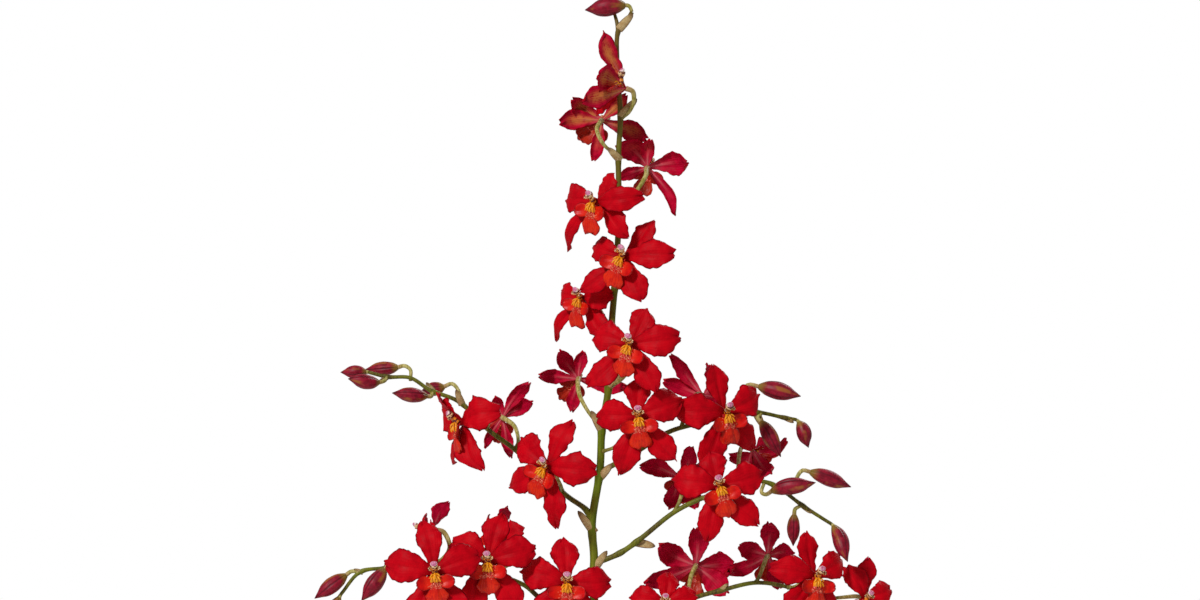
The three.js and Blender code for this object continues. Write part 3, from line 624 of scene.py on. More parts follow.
blooms = {
    "bloom_02": dict(
        at=[12, -10, 586], turn=-80, tilt=22,
        tips=[[-15, 27, 1], [-14, 6, -16], [-12, 8, 15], [-23, -6, -12], [-19, -9, 13]],
        widths=[0.8, 0.85, 0.85, 0.85, 0.85],
        twists=[75, 0, 0, -60, 35],
        stem=[[10.2, 0, 570.5], [14.6, -3, 574], [17, -7, 580]],
    ),
    "bloom_03": dict(
        at=[1, 20, 570], turn=175, tilt=0,
        tips=[[14, 12], [24, -8], [-15, 10], [-4, -20.5], [-21, 0]],
        widths=[0.8, 0.85, 0.85, 0.75, 0.9],
        stem=[[9.3, 0, 551.5], [2, -2, 557.5], [-1.6, 3, 565], [0.6, 11, 569.7]],
    ),
    "bloom_04": dict(
        at=[24, 16, 546.5], turn=170, tilt=10,
        tips=[[2.5, 15.5], [22, 3.5], [-13, 14], [16.5, -21.5], [-14, -4]],
        widths=[0.85, 0.95, 0.95, 0.75, 0.7],
        stem=[[9.9, 0, 526.5], [13, -3, 530], [18.5, -1, 535], [23, 5, 542.5]],
    ),
    "bloom_05": dict(
        at=[-1.5, -21, 529], turn=-38, tilt=8,
        tips=[[6, 15], [20, 2], [-18.5, 3], [12.5, -17], [-21.5, -22]],
        widths=[0.8, 0.78, 0.9, 0.95, 0.6],
        stem=[[9.3, 0, 512], [8.5, -7, 516], [5, -14, 524]],
    ),
    "bloom_06": dict(
        at=[12, -21, 501.5], turn=-22, tilt=14,
        tips=[[14, 19], [25, 1.5], [-17, 7], [8, -21], [-23, -17.5]],
        widths=[0.82, 0.92, 0.8, 1.0, 0.82],
        stem=[[8, 0, 487], [11, -7, 490], [13.5, -13, 497]],
    ),
    "bloom_07": dict(
        at=[-8, 0, 481], turn=-40, tilt=10,
        tips=[[6, 14], [13, 1], [-13.5, 4], [8.5, -19.5], [-20.5, -19]],
        widths=[0.8, 0.9, 0.8, 1.0, 0.6],
        stem=[[6.3, 0, 467], [3, 3, 470], [-1.5, 6, 477]],
    ),
    "bloom_08": dict(
        at=[15, -34, 458], turn=-14, tilt=8,
        tips=[[8, 18.5], [24.5, 3], [-19, 5.5], [12, -24], [-21.5, -22]],
        stem=[[4.8, 0, 437], [9, -6, 439], [13.5, -15, 444], [15.5, -24, 453]],
    ),
    "bloom_09": dict(
        at=[-11, 20, 440.5], turn=185, tilt=0,
        tips=[[3, 14], [23.5, -4.5], [-11, 14], [-4.5, -16.5], [-21, 2]],
        widths=[0.75, 0.85, 0.85, 0.7, 0.85],
        stem=[[1.2, 0, 416], [-5, -2, 423], [-10, 3, 432], [-11, 11, 439]],
    ),
    "bloom_11": dict(
        at=[19, -29, 422.5], turn=0, tilt=5,
        tips=[[0.5, 19.5], [22, 8], [-21, 1], [18, -23.5], [-10.5, -29]],
        stem=[[0.6, 0, 404], [8, -8, 407], [16, -18, 417]],
    ),
    "bloom_12": dict(
        at=[62, -14, 424], turn=25, tilt=5,
        tips=[[-4.5, 24.5], [18.5, 10], [-23, 0.5], [18.5, -18], [-9.5, -26.5]],
        widths=[0.95, 0.95, 1.0, 0.95, 1.0],
        stem=[[49, 6, 418], [53, 3, 418.5], [59, -4, 422.5]],
    ),
    "bloom_13": dict(
        at=[52, 26, 432], turn=150, tilt=-10,
        tips=[[-13, 19], [8, 14], [-17, 7], [13, -4], [0, -17]],
        widths=[0.75, 0.8, 0.8, 0.7, 0.7],
        stem=[[41, 5, 416.3], [42, 5, 422], [47, 12, 431]],
    ),
    "bloom_14": dict(
        at=[59, -35, 388], turn=5, tilt=6,
        tips=[[-4, 17], [22, 6.5], [-23, 2.5], [21.5, -18.5], [-6, -28]],
        stem=[[51.5, -8, 381.3], [54, -15, 380], [58, -24, 385]],
    ),
    "bloom_15": dict(
        at=[40, 12, 391], turn=180, tilt=0,
        tips=[[7, 15.5], [17, 3], [-20, 7], [9, -15], [-5, -16]],
        stem=[[37, -7, 374], [39.5, -7, 379], [41.5, -1, 387]],
    ),
    "bloom_16": dict(
        at=[77, 22, 404], turn=135, tilt=-45,
        tips=[
            [8.4, 0.9, 14.7], [-3.7, -7.6, 13.6], [15.7, -1.9, 2.1], [-3.5, -17.5, 1.9],
            [11.7, -15.9, -7.2]],
        stem=[[68.5, -9, 387.5], [69, -2, 397], [70.5, 8, 405.5]],
    ),
    "bloom_20": dict(
        at=[48, 26, 346.5], turn=180, tilt=0,
        tips=[[0.5, 19.5], [19.5, 1.5], [-19.5, 9.5], [15.5, -14.5], [-26, -9.5]],
        stem=[[47.5, 4, 331.3], [45, 7, 334], [45.5, 15, 341]],
    ),
    "bloom_21": dict(
        at=[84.5, 27, 351.5], turn=170, tilt=5,
        tips=[[3, 18.5], [14, 3], [-14, 5], [7, -16], [-19, -9]],
        stem=[[78, 6, 338.6], [80, 9, 342], [83, 17, 350]],
    ),
    "bloom_22": dict(
        at=[107, -15, 342.5], turn=28, tilt=4,
        tips=[[-3, 22.5], [16, 9], [-20.5, 4.5], [10, -20], [-14, -18]],
        widths=[0.9, 0.9, 0.95, 0.9, 0.9],
        stem=[[94, 7, 336.3], [97, 4, 336.5], [103, -4, 340]],
    ),
    "bloom_23": dict(
        at=[132.5, 4, 331], turn=18, tilt=0,
        tips=[[3, 20.5], [14, 5], [-8, 16], [9, -21], [-14, -15]],
        widths=[0.85, 0.85, 0.85, 0.85, 0.85],
        stem=[[115, 9, 330.5], [121, 11, 331], [128, 13, 331.5]],
    ),
    "bloom_24": dict(
        at=[32.5, -17, 329], turn=0, tilt=8,
        tips=[[1.5, 16], [16, 4], [-18, 2], [10, -22], [-12, -20]],
        stem=[[16, -2.5, 312], [22, -4, 314], [30, -8, 324]],
    ),
    "bloom_26": dict(
        at=[-26, -21, 397], turn=-30, tilt=5,
        tips=[[9.5, 23.5], [22.5, -2], [-15, 14], [2.5, -30.5], [-22.5, -11.5]],
        stem=[[-19, 2.5, 384.5], [-19.5, -3, 387], [-23, -10, 394]],
    ),
    "bloom_27": dict(
        at=[-68.5, -9, 419], turn=-76, tilt=0,
        tips=[[-17, 12, 3], [14.5, 6.5, -16], [-12, 4, 15], [2, -24.5, -9], [-10, -20, 8]],
        twists=[20, 0, 0, 55, 0],
        stem=[[-56.5, 6.4, 415.5], [-56, 1, 419], [-60, -3, 421]],
    ),
    "bloom_28": dict(
        at=[-49, 27, 421], turn=182, tilt=0,
        tips=[[13, 18], [15.5, 7], [-3, 11], [3, -20.5], [-10, -15]],
        widths=[0.8, 0.8, 0.7, 0.75, 0.7],
        stem=[[-42.5, 4, 405.3], [-41, 6, 409], [-43, 15, 417]],
    ),
    "bloom_29": dict(
        at=[-82, -52, 345.5], turn=0, tilt=5,
        tips=[[-5, 26.5], [22.5, 8.5], [-25.5, 3.5], [15, -26.5], [-12, -28]],
        stem=[[-76, -25, 347.2], [-77, -32, 344], [-81, -41, 344]],
    ),
    "bloom_30": dict(
        at=[-55.5, -39, 350.5], turn=-5, tilt=4,
        tips=[[5.5, 24.5], [24, 6], [-18.5, 10.5], [17, -25], [-9, -27]],
        stem=[[-49, -20.5, 342.3], [-50, -24, 341], [-54, -31, 346]],
    ),
    "bloom_31": dict(
        at=[-16.5, -35, 340], turn=0, tilt=5,
        tips=[[-1, 22.5], [22, 0.5], [-23.5, 4.5], [15, -22], [-15, -18]],
        stem=[[-17.5, -10, 316.5], [-17, -15, 319], [-16, -24, 333]],
    ),
    "bloom_32": dict(
        at=[-85, -10, 365], turn=-72, tilt=0,
        tips=[[6, 15.5, 5], [3, -1, -14], [-5, 5, 13], [-2, -14, -8], [-2, -12, 8]],
        twists=[70, 0, 0, 30, 0],
        stem=[[-88, -26, 348], [-80, -21, 350], [-75, -10, 357], [-78, -7.5, 364]],
    ),
    "bloom_33": dict(
        at=[-52, -1, 362.5], turn=-62, tilt=0,
        tips=[[4, 15, 0], [13, 3, -13], [-6, 7, 12], [0, -16, -8], [-7, -12, 6]],
        twists=[70, 0, 0, 0, 0],
        stem=[[-60, -21.5, 345.5], [-52, -16, 345], [-42, -4, 352], [-45, 3, 361]],
    ),
}

bladeLook = {
    "rows": 38,
    "columns": 17,
    "petalWidth": 18.0,
    "sepalWidth": 14.5,
    "widthSpread": (0.95, 1.05),
    "fullReach": 23.0,  # mean length of the tips of a full-sized bloom
    "petalArch": 0.1,
    "sepalArch": -0.01,
    "archSpread": (-0.02, 0.03),
    "sepalLayer": -0.9,  # how far forward the feet of the sepals lie, and of the petals
    "petalLayer": 0.2,
    "thickness": 0.6,
    "ruffle": 0.06,  # of the edges, by the width
    "ruffleTurns": (1.6, 4.3),  # long waves along an edge, and short ones
    "teeth": ((0.04, 4.6), (0.02, 11.0)),  # of the end: depth, and how close together
    "tipRound": 0.015,
    "notches": 0.05,
    "notchTurns": ((1.0, 2.1), (0.6, 5.2), (0.4, 9.3)),  # depth and number along an edge
    "channel": 0.75,  # depth of the crease down the middle
    "channelWidth": 0.2,
    "footRoll": 0.35,  # share of the roll that is there at the foot
    "frontRoll": (0.1, 0.45),  # how far the sides roll back, in radians
    "backRoll": (0.7, 1.5),
    "bendFrom": 0.55,  # where along the length the end starts to bend
    "bendGrowth": 2.2,
    "bendShortens": 0.1,
    "tipDrop": 0.03,
    "frontCurl": (0.0, 0.55),  # how far the ends bend back
    "backCurl": (0.5, 1.5),
    "twistSpread": 0.3,  # at the tip, in radians
    "bow": 0.05,  # of the middle line to one side, by the length
    "hook": 0.16,  # of the end to one side
}
# half widths from foot to tip, as shares of the whole
petalOutline = [
    (0, 0.56), (0.14, 0.72), (0.3, 0.92), (0.46, 1.0), (0.64, 0.98), (0.82, 0.77), (0.93, 0.52),
    (1.0, 0.34)]
sepalOutline = [
    (0, 0.6), (0.16, 0.7), (0.36, 0.9), (0.56, 1.0), (0.72, 0.94), (0.88, 0.64), (0.96, 0.36),
    (1.0, 0.12)]
backOutline = [  # of both, on a bloom that shows its back
    (0, 0.36), (0.18, 0.6), (0.38, 0.88), (0.56, 1.0), (0.74, 0.93), (0.88, 0.68), (1.0, 0.26)]


# The bloom's own directions: up runs from its lateral sepals to its dorsal one
def bloomFrame(bloom):
    turn = math.radians(bloom["turn"])
    tilt = math.radians(bloom["tilt"])
    look = np.array([math.sin(turn) * math.cos(tilt), -math.cos(turn) * math.cos(tilt),
                     math.sin(tilt)])
    tips = []
    for tip in bloom["tips"]:
        back = tip[2] if len(tip) == 3 else -(look[0] * tip[0] + look[2] * tip[1]) / look[1]
        tips.append(np.array([tip[0], back, tip[1]]))
    ways = unit(np.array(tips))
    up = ways[0] - ways[3] - ways[4]
    up = unit(up - up.dot(look) * look)
    lengths = np.linalg.norm(tips, axis=1)
    lean = math.asin((ways[3].dot(look) + ways[4].dot(look)) / 2)
    return {
        "at": np.array(bloom["at"], float), "look": look, "up": up, "right": np.cross(up, look),
        "tips": tips, "size": min(1.0, lengths.mean() / bladeLook["fullReach"]),
        "leanUp": up * math.cos(lean) - look * math.sin(lean),
        "leanLook": look * math.cos(lean) + up * math.sin(lean),
    }


# A sepal or petal. With u from foot to tip and v from edge to edge, the half width follows a
# profile table, the middle line arches as a half sine, and the sides roll back as an arc of a
# circle. The edges ripple as sines of u that grow with v. The end bends back and to one side with
# the square of what is past the bend's start, and is cut to teeth, longer where a sine of v is high.
def tepalSheet(bloom, tip, isPetal, narrow, twist, random):
    look = bladeLook
    u, v = grid(look["rows"], look["columns"])
    length = np.linalg.norm(tip)
    along = tip / length
    side = unit(np.cross(along, bloom["look"]))
    face = np.cross(side, along)
    facesAway = bloom["look"][1] > 0
    width = (look["petalWidth"] if isPetal else look["sepalWidth"]) * bloom["size"] * narrow
    width = width * random.uniform(*look["widthSpread"])
    outline = profileOf(backOutline if facesAway else petalOutline if isPetal else sepalOutline, u)
    phases = random.uniform(0, 2 * math.pi, 9)
    edge = np.abs(v) ** 3
    right = 0.5 + 0.5 * np.tanh(3 * v)  # 0 at the left edge and 1 at the right
    few, many = look["ruffleTurns"]
    waves = [wave(u, few, phases[k]) + 0.6 * wave(u, many, phases[k + 2]) for k in (0, 1)]
    ruffles = waves[0] * (1 - right) + waves[1] * right
    dents = sum(size * wave(u, turns, phases[k + 4] + (k + 1) * right)
                for k, (size, turns) in enumerate(look["notchTurns"]))
    half = (width / 2) * outline * (1 + look["notches"] * dents * edge * hump(u) ** 0.5)
    roll = random.uniform(*look["backRoll" if facesAway else "frontRoll"]) * (2 - narrow)
    turned = roll * v * np.clip(look["footRoll"] + u, 0, 1)
    arch = look["petalArch" if isPetal else "sepalArch"] + random.uniform(*look["archSpread"])
    rise = arch * length * hump(u**0.85) - look["tipDrop"] * length * u**4
    fall = half * (1 - np.cos(turned)) / roll
    fromFoot = np.clip(3 * u, 0, 1)
    ripple = look["ruffle"] * width * ruffles * edge * fromFoot
    channel = -look["channel"] * bell(v, look["channelWidth"]) * hump(u)
    past = np.clip(u - look["bendFrom"], 0, 1) ** 2 * look["bendGrowth"]
    curl = random.uniform(*look["backCurl" if facesAway else "frontCurl"]) * length * past
    twisting = look["twistSpread"]
    turn = math.radians(twist) * fromFoot + random.uniform(-twisting, twisting) * u**2
    bow = random.uniform(-look["bow"], look["bow"])
    hook = random.uniform(-look["hook"], look["hook"])
    bend = bow * length * hump(u) + hook * length * past
    out = half * np.sin(turned) / roll
    up = ripple - fall
    teeth = sum(depth * np.sin(close * v + phase)
                for (depth, close), phase in zip(look["teeth"], phases[7:]))
    end = u + (teeth - look["tipRound"] * v**2) * u**9 - look["bendShortens"] * past
    layer = look["petalLayer" if isPetal else "sepalLayer"]
    middle = bloom["at"] + layer * bloom["look"]
    return (middle + (length * end)[..., None] * along
            + (out * np.cos(turn) - up * np.sin(turn) + bend)[..., None] * side
            + (up * np.cos(turn) + out * np.sin(turn) + rise + channel - curl)[..., None] * face)


# Places given to the right, up and forward of a bloom's middle
def inBloom(bloom, x, y, z):
    return (bloom["at"] + x[..., None] * bloom["size"] * bloom["right"]
            + y[..., None] * bloom["size"] * bloom["leanUp"] + z[..., None] * bloom["leanLook"])


lipLook = {
    "thickness": 0.7,
    "top": 0.8,  # how far under the middle the lip starts
    "reach": 15.4,  # how far the lip runs down from there
    "flare": 1.3,  # how far the lip stands forward in its middle
    "seat": 1.6,  # and where it starts
    "droop": 1.2,  # how far its end lies back, and its sides
    "sideDroop": 1.6,
    "keel": 0.5,
    "keelWidth": 0.2,
    "sideFoot": 1.0,
    "sideReach": 9.5,
    "sideHeight": 3.7,
    "sideDrop": 5.4,
    "ruffle": 0.5,
}


# The lip's middle lobe: its half width follows the table, and its end is drawn out and in, and its
# surface waved, by sines across it
lobeOutline = [(0, 2.3), (0.3, 2.9), (0.5, 3.8), (0.66, 4.9), (0.8, 6.0), (0.92, 5.7), (1.0, 4.6)]


def middleLobe(bloom, random):
    u, v = grid(32, 25)
    phases = random.uniform(0, 2 * math.pi, 4)
    half = profileOf(lobeOutline, u) * (1 + 0.06 * np.sin(13 * u + phases[0]) * np.abs(v) ** 3 * u)
    end = u**4 * (0.6 * np.sin(4.4 * v + phases[1]) + 0.4 * np.sin(9.5 * v + phases[2]) - 1.3 * v**4)
    down = lipLook["top"] + lipLook["reach"] * u + end
    ripple = np.sin(5 * v + 3 * u + phases[3]) + 0.3 * np.sin(13 * v + 5 * u)
    ripple = lipLook["ruffle"] * u**2 * ripple
    keel = lipLook["keel"] * bell(v, lipLook["keelWidth"]) * hump(u)
    forward = (lipLook["seat"] + lipLook["flare"] * hump(u) - lipLook["droop"] * u**3
               - lipLook["sideDroop"] * u * v**2 + ripple + keel)
    return inBloom(bloom, -half * v, -down, forward)


# A side lobe: a round cup, whose outline is a quarter ellipse past its root and whose edges come
# forward and ripple
def sideLobe(bloom, side, random):
    u, v = grid(22, 17)
    phase = random.uniform(0, 2 * math.pi)
    height = lipLook["sideHeight"] * random.uniform(0.94, 1.06)
    half = height * np.sqrt(np.clip(1 - np.clip((u - 0.5) / 0.51, 0, 1) ** 2.4, 0.004, 1))
    waved = 1 + 0.05 * np.sin(9 * u + phase) * np.abs(v) ** 3
    half = half * (0.8 + 0.2 * np.clip(u / 0.5, 0, 1)) * waved
    out = lipLook["sideFoot"] + (lipLook["sideReach"] - lipLook["sideFoot"]) * u
    ripple = 0.25 * np.sin(5 * v + 5 * u + phase) * u * (1.3 - u)
    forward = 2.4 + 2.0 * u**1.6 + 1.2 * v**2 * u * (1.4 - u) - 0.3 * hump(u) + ripple
    return inBloom(bloom, side * out, -lipLook["sideDrop"] - 0.5 * u - side * half * v, forward)


# The crest of the lip is a pad over its keel, first the callus and then a speckled ridge. Its half
# width follows the table, and its lumps are bell-shaped hills on it, each given by how far right
# and up it lies, its height and its breadth.
crestOutline = [
    (0, 0.9), (0.16, 1.4), (0.34, 2.1), (0.5, 2.3), (0.62, 2.3), (0.8, 3.3), (0.92, 3.3), (1.0, 2.2)]
crestTop = -0.6
crestLength = 8.4
crestHills = [
    (0.0, -1.8, 1.0, 1.0), (1.0, -3.2, 0.9, 0.9), (-1.0, -3.2, 0.9, 0.9), (0.0, -4.2, 0.8, 0.8),
    (0.9, -6.6, 0.7, 0.6), (-0.9, -6.6, 0.7, 0.6), (2.2, -7.6, 0.6, 0.7), (-2.2, -7.6, 0.6, 0.7),
    (0.0, -7.9, 0.6, 0.6),
]


def crestSheet(bloom):
    u, v = grid(34, 25)
    x = profileOf(crestOutline, u) * v
    y = crestTop - crestLength * u + 0.0 * v
    top = sum(high * np.exp(-((x - right) ** 2 + (y - up) ** 2) / spread**2)
              for right, up, high, spread in crestHills)
    return inBloom(bloom, -x, y, 3.3 - 0.9 * u + top - 0.35 * v**2)


# The fingers of the callus: tapered horns that stand forward and down. Each row gives the foot and
# the tip of one, right, up and forward, and its radius.
fingers = [
    ((0.45, -2.2, 4.0), (0.75, -6.3, 5.0), 0.5), ((-0.45, -2.2, 4.0), (-0.65, -5.9, 5.3), 0.52),
    ((1.1, -2.6, 3.9), (2.6, -5.9, 4.6), 0.46), ((-1.1, -2.6, 3.9), (-2.5, -5.7, 4.8), 0.48),
    ((0.9, -1.4, 4.1), (2.7, -3.3, 4.9), 0.42), ((-0.9, -1.4, 4.1), (-2.8, -3.7, 4.8), 0.42),
    ((0.0, -1.2, 4.5), (0.1, -4.4, 5.9), 0.46),
]


capLook = {"width": 1.85, "height": 1.3, "depth": 1.15, "up": 3.2, "forward": 8.1, "groove": 0.35}


# The column, a bent tube that swells as a sine, with its cap and wings, and the callus
def addCentre(piece, bloom):
    def lineOf(rows):
        rows = np.array(rows, float)
        return inBloom(bloom, rows[:, 0], rows[:, 1], rows[:, 2])

    size = bloom["size"]
    column = smoothPath(lineOf([(0, -0.7, 2.4), (0, 1.2, 5.4), (0, 3.0, 7.8)]), 22)
    share = np.linspace(0, 1, 22)
    swell = 1.35 + 0.25 * hump(3 * share) + 0.35 * share**2
    piece.add(tube(column, swell * size, 20), slot=2)
    # the cap: a dome, broader than high, with a groove down its middle and a beak below
    level = np.linspace(-0.97, 0.97, 18)[:, None]
    angle = circle(28)
    dome = np.sqrt(1 - level**2)
    x = capLook["width"] * dome * np.cos(angle)
    beak = 1 + 0.35 * np.clip(-np.sin(angle), 0, 1) ** 3
    y = capLook["up"] + capLook["height"] * dome * np.sin(angle) * beak + 0.3 * level
    groove = capLook["groove"] * bell(x, 0.3) * np.clip(level, 0, 1)
    z = capLook["forward"] + capLook["depth"] * level - groove
    piece.add(inBloom(bloom, x, y, z), slot=3)
    u, v = grid(11, 11)
    for side in (1.0, -1.0):  # the column's wings
        half = 1.25 * np.sqrt(np.clip(1 - (u - 0.25) ** 2 / 0.6, 0.01, 1))
        wing = inBloom(bloom, side * (0.9 + 2.0 * u + 0.15 * np.sin(8 * v)),
                       1.3 - side * half * v - 0.4 * u, 6.0 + 0.9 * u + 0.5 * v**2)
        piece.addBlade(wing, 0.6, slot=2, rim=0.3)
    piece.addBlade(crestSheet(bloom), 1.2, slot=4, rim=0.3)
    share = np.linspace(0, 1, 12)
    for foot, tip, radius in fingers:
        middle = (np.array(foot) + np.array(tip)) / 2 + np.array([0, 0.2, 0.5])
        radii = radius * np.sqrt(np.clip(1 - share**3, 0.02, 1)) * size
        piece.add(tube(smoothPath(lineOf([foot, middle, tip]), 12), radii, 12),
                  along=0.15 + 0.3 * share, slot=4)


# in the order of the slots that the surfaces of a bloom name
bloomMaterials = [
    finishes[name] for name in ("petal", "lip", "column", "cap", "callus", "sideLobe")]
for name, bloom in blooms.items():
    place = bloomFrame(bloom)
    random = np.random.default_rng(int(name[-2:]))
    piece = Piece(name + "_fine")
    widths = bloom.get("widths", [1.0] * 5)
    twists = bloom.get("twists", [0.0] * 5)
    for number, (tip, width, twist) in enumerate(zip(place["tips"], widths, twists)):
        sheet = tepalSheet(place, tip, number in (1, 2), width, twist, random)
        piece.addBlade(sheet, bladeLook["thickness"])
    piece.addBlade(middleLobe(place, random), lipLook["thickness"], slot=1)
    for side in (1.0, -1.0):
        piece.addBlade(sideLobe(place, side, random), lipLook["thickness"], slot=5)
    addCentre(piece, place)
    piece.build(bloomMaterials, "bloom", *[
        node for node in (name, name.replace("bloom", "centre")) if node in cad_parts])
print("blooms made")

# The flower spike: the stem and branches by the routes of their middle lines, the bloom stalks and
# the buds' stalks. A bud's stalk ends at its base.

stemRoute = [
    [6, -4, 82], [6, -5, 130], [4, -3, 190], [1, -1, 260], [-3, 0, 330], [-3, 0, 352], [-4, 0, 368],
    [0, 0, 395], [1, 0, 416], [4, 0, 434], [6, 0, 470], [7.5, 0, 488], [9.5, 0, 524], [9.2, 0, 552],
    [10.2, 0, 572], [8.6, 0, 598], [9.3, 0, 615], [13, 0, 619], [16, 0, 624],
]
stemEnd = [[9.1, 0, 613], [8.6, 1, 618], [7.2, 3, 623.5]]  # past its last node
branches = [
    [
        [0, 0, 394], [15, 2, 402], [34.5, 4, 414], [48, 6, 418], [75, 10, 424], [92.5, 14, 421],
        [98.5, 15, 420]],
    [
        [-3, 0, 348], [10, -2, 353.5], [20, -4, 360.5], [37, -7, 374], [51, -8, 381], [76, -9, 389.5],
        [86, -9, 388], [101, -8, 377.5], [111, -7, 371], [115.5, -7, 368.2]],
    [
        [-1.5, 0, 300], [13, -2, 310], [30, 1, 322], [47.5, 4, 331], [60, 5, 334.5], [78, 6, 338.5],
        [94, 7, 336.3], [106, 8, 332], [116, 9, 330.5]],
    [
        [-4, 0, 367], [-6.5, 1, 374.5], [-16.5, 2, 382], [-43, 4, 405.5], [-56.5, 6, 415.5],
        [-70.5, 9, 429], [-85, 10, 434.8], [-95, 11, 441], [-106.5, 11.5, 441.5], [-116, 12, 443.8]],
    [
        [-2, 0, 292], [-14, -8, 312], [-32.5, -16, 333.5], [-39, -18, 338.5], [-70, -24, 347],
        [-107.5, -28, 346.5], [-119.5, -28, 344.5], [-129, -27, 333.5]],
]
buds = [  # the route of the stalk, the tip, and the thickness
    ([[16, 0, 624], [14.5, 0, 627], [12, 0, 627.4]], [-7.5, 0, 625], 9.5),
    ([[74, 10, 424], [71, 9, 432], [74, 8, 437.5], [80, 7, 436.6]], [100.5, 5, 431.8], 9),
    ([[81, 11, 423.3], [79, 10, 421], [81, 9.5, 418.8]], [90.5, 6, 401.5], 8),
    ([[98.5, 15, 420], [100, 15, 418.6]], [104.5, 14, 406], 7.5),
    ([[82, -9, 388.8], [80.6, -11, 384], [83, -13, 383], [86, -14, 385]], [107.5, -18, 389], 8.5),
    ([[95, -8.5, 382.5], [97.5, -6, 389.5], [101, -5, 394.8], [105.5, -4, 394]], [125.5, -1, 386.5], 8),
    ([[101, -8, 377.5], [97.5, -7, 375.6], [97, -6, 372.5]], [96.5, -4, 357], 6.5),
    ([[115.5, -7, 368.2], [117, -7, 366.8]], [123.5, -16, 349.5], 8),
    ([[-84, 10, 434.3], [-84.5, 7, 431.8], [-87, 5, 431.8]], [-104, 1, 433.5], 7.5),
    ([[-95, 11, 439.6], [-95, 13, 445], [-98, 15, 447], [-101.5, 17, 446.2]], [-118, 21, 445], 7),
    ([[-106.5, 11.5, 441.5], [-108, 8, 439.5], [-111, 6, 438.6]], [-126, 1, 440.6], 7.5),
    ([[-116, 12, 443.8], [-117.5, 12, 444]], [-130, 13, 443.8], 6.5),
    ([[-70.5, 9, 429], [-70.6, 11, 434], [-74, 13, 438], [-78.5, 15, 436.4]], [-90, 18, 434], 7),
    ([[-118, -28, 344], [-123.5, -28, 345], [-126.8, -28, 342.8]], [-142, -30, 331.5], 8),
    ([[-129, -27, 333.5], [-130, -27, 331.6]], [-137.5, -25, 316], 7),
    ([[-104, -28, 347.2], [-105, -31, 348.4], [-107.2, -33, 345.6]], [-118.5, -37, 330.5], 8.5),
]
bracts = [  # foot and tip
    [[9.3, 0, 615.3], [16.4, -1, 623]], [[9.8, 0, 571.5], [18.4, -2.5, 580.5]],
    [[10.2, 0, 550], [4, -3, 556]], [[8.6, 0, 525.5], [15, -4, 529]],
    [[7.3, 0, 486], [10, -6, 490]], [[6.8, 0, 466], [1.5, 4, 469]], [[4, 0, 436.5], [12.3, -6.5, 445]],
    [[-2.6, 0, 363.5], [-11, -1, 374.5]],
    [[0, 0, 391.3], [6, -3, 398]], [[1.2, 0, 414.5], [-4.4, -3.5, 424.5]],
    [[-3.4, 0, 345], [3.5, -1.5, 354.5]], [[-0.5, 0, 296.5], [6.5, -3, 306]],
    [[-0.4, 0, 288], [-8, -6, 301]], [[2.8, -2, 222], [-1.6, -6, 237]],
    [[4.8, -3.5, 170], [9.4, -7, 189]], [[5.6, -4.8, 122], [1, -8.6, 142]],
    [[78, 10.4, 423.7], [82, 9, 416]], [[18, -3.6, 359], [27.5, -5, 357]],
    [[-69, 8.8, 427.5], [-72, 7, 435]],
    [[-83.5, 10, 434.3], [-87, 13.5, 438.5]], [[92.5, 14, 421], [97, 13, 418.6]],
    [[-106.5, 11.5, 441], [-110.5, 9, 439.5]], [[101, -8, 377.5], [105.5, -8.5, 373.6]],
    [[86, -9, 388], [90.5, -9.5, 384]], [[-118, -28, 344.5], [-122.5, -28.5, 346]],
    [[60, 5, 334.5], [64, 4, 338]], [[-106, -28, 346.7], [-101, -29.5, 354]],
]

spikeLook = {
    "stemFoot": 3.0,  # radii
    "stemTip": 1.1,
    "branchFoot": 1.4,
    "branchTip": 0.9,
    "nodeSwell": 0.35,
    "nodeLength": 2.2,
    "stalk": 0.85,
    "stalkFlare": 0.55,  # how much thicker a stalk is at its bloom
    "stalkFoot": 0.5,  # and at its foot
    "squareRun": 3.0,  # straight end of a stalk, square to its bloom
    "seat": -1.625,  # where it ends, before the bloom's middle
    "sink": 0.6,  # how far into the bloom its tube runs on
    "bract": 2.7,  # half width of a bract 10 long or more
}


# A stem's radius falls evenly from foot to tip, and swells as a bell at each node
def stemRadii(path, foot, tip, nodes):
    share = np.linspace(0, 1, len(path))
    radii = foot + (tip - foot) * share
    for node in nodes:
        distance = np.linalg.norm(path - np.asarray(node, float), axis=1)
        radii = radii + spikeLook["nodeSwell"] * bell(distance, spikeLook["nodeLength"])
    return radii


stems = Piece("spike_stems")
nodes = [bract[0] for bract in bracts]
path = smoothPath(stemRoute, 260)
stems.add(tube(path, stemRadii(path, spikeLook["stemFoot"], spikeLook["stemTip"], nodes), 14))
path = smoothPath(stemEnd, 14)
stems.add(tube(path, np.linspace(1.2, 0.8, 14), 12))
for route in branches:
    path = smoothPath(route, 90)
    radii = stemRadii(path, spikeLook["branchFoot"], spikeLook["branchTip"], nodes + [route[1]])
    stems.add(tube(path, radii, 12), tone=0.25)
for bloom in blooms.values():
    place = bloomFrame(bloom)
    ends = [place["at"] + place["look"] * (spikeLook["seat"] - run)
            for run in (spikeLook["squareRun"], -spikeLook["sink"])]
    path = smoothPath(bloom["stem"] + [end.tolist() for end in ends], 30)
    share = np.linspace(0, 1, 30)
    radii = (spikeLook["stalk"] + spikeLook["stalkFlare"] * share**1.5
             + spikeLook["stalkFoot"] * bell(share, 0.06))
    grooves = 1 + 0.06 * np.cos(3 * circle(12))
    stems.add(tube(path, radii, 12, grooves), tone=(0.6 + 1.2 * share)[:, None])

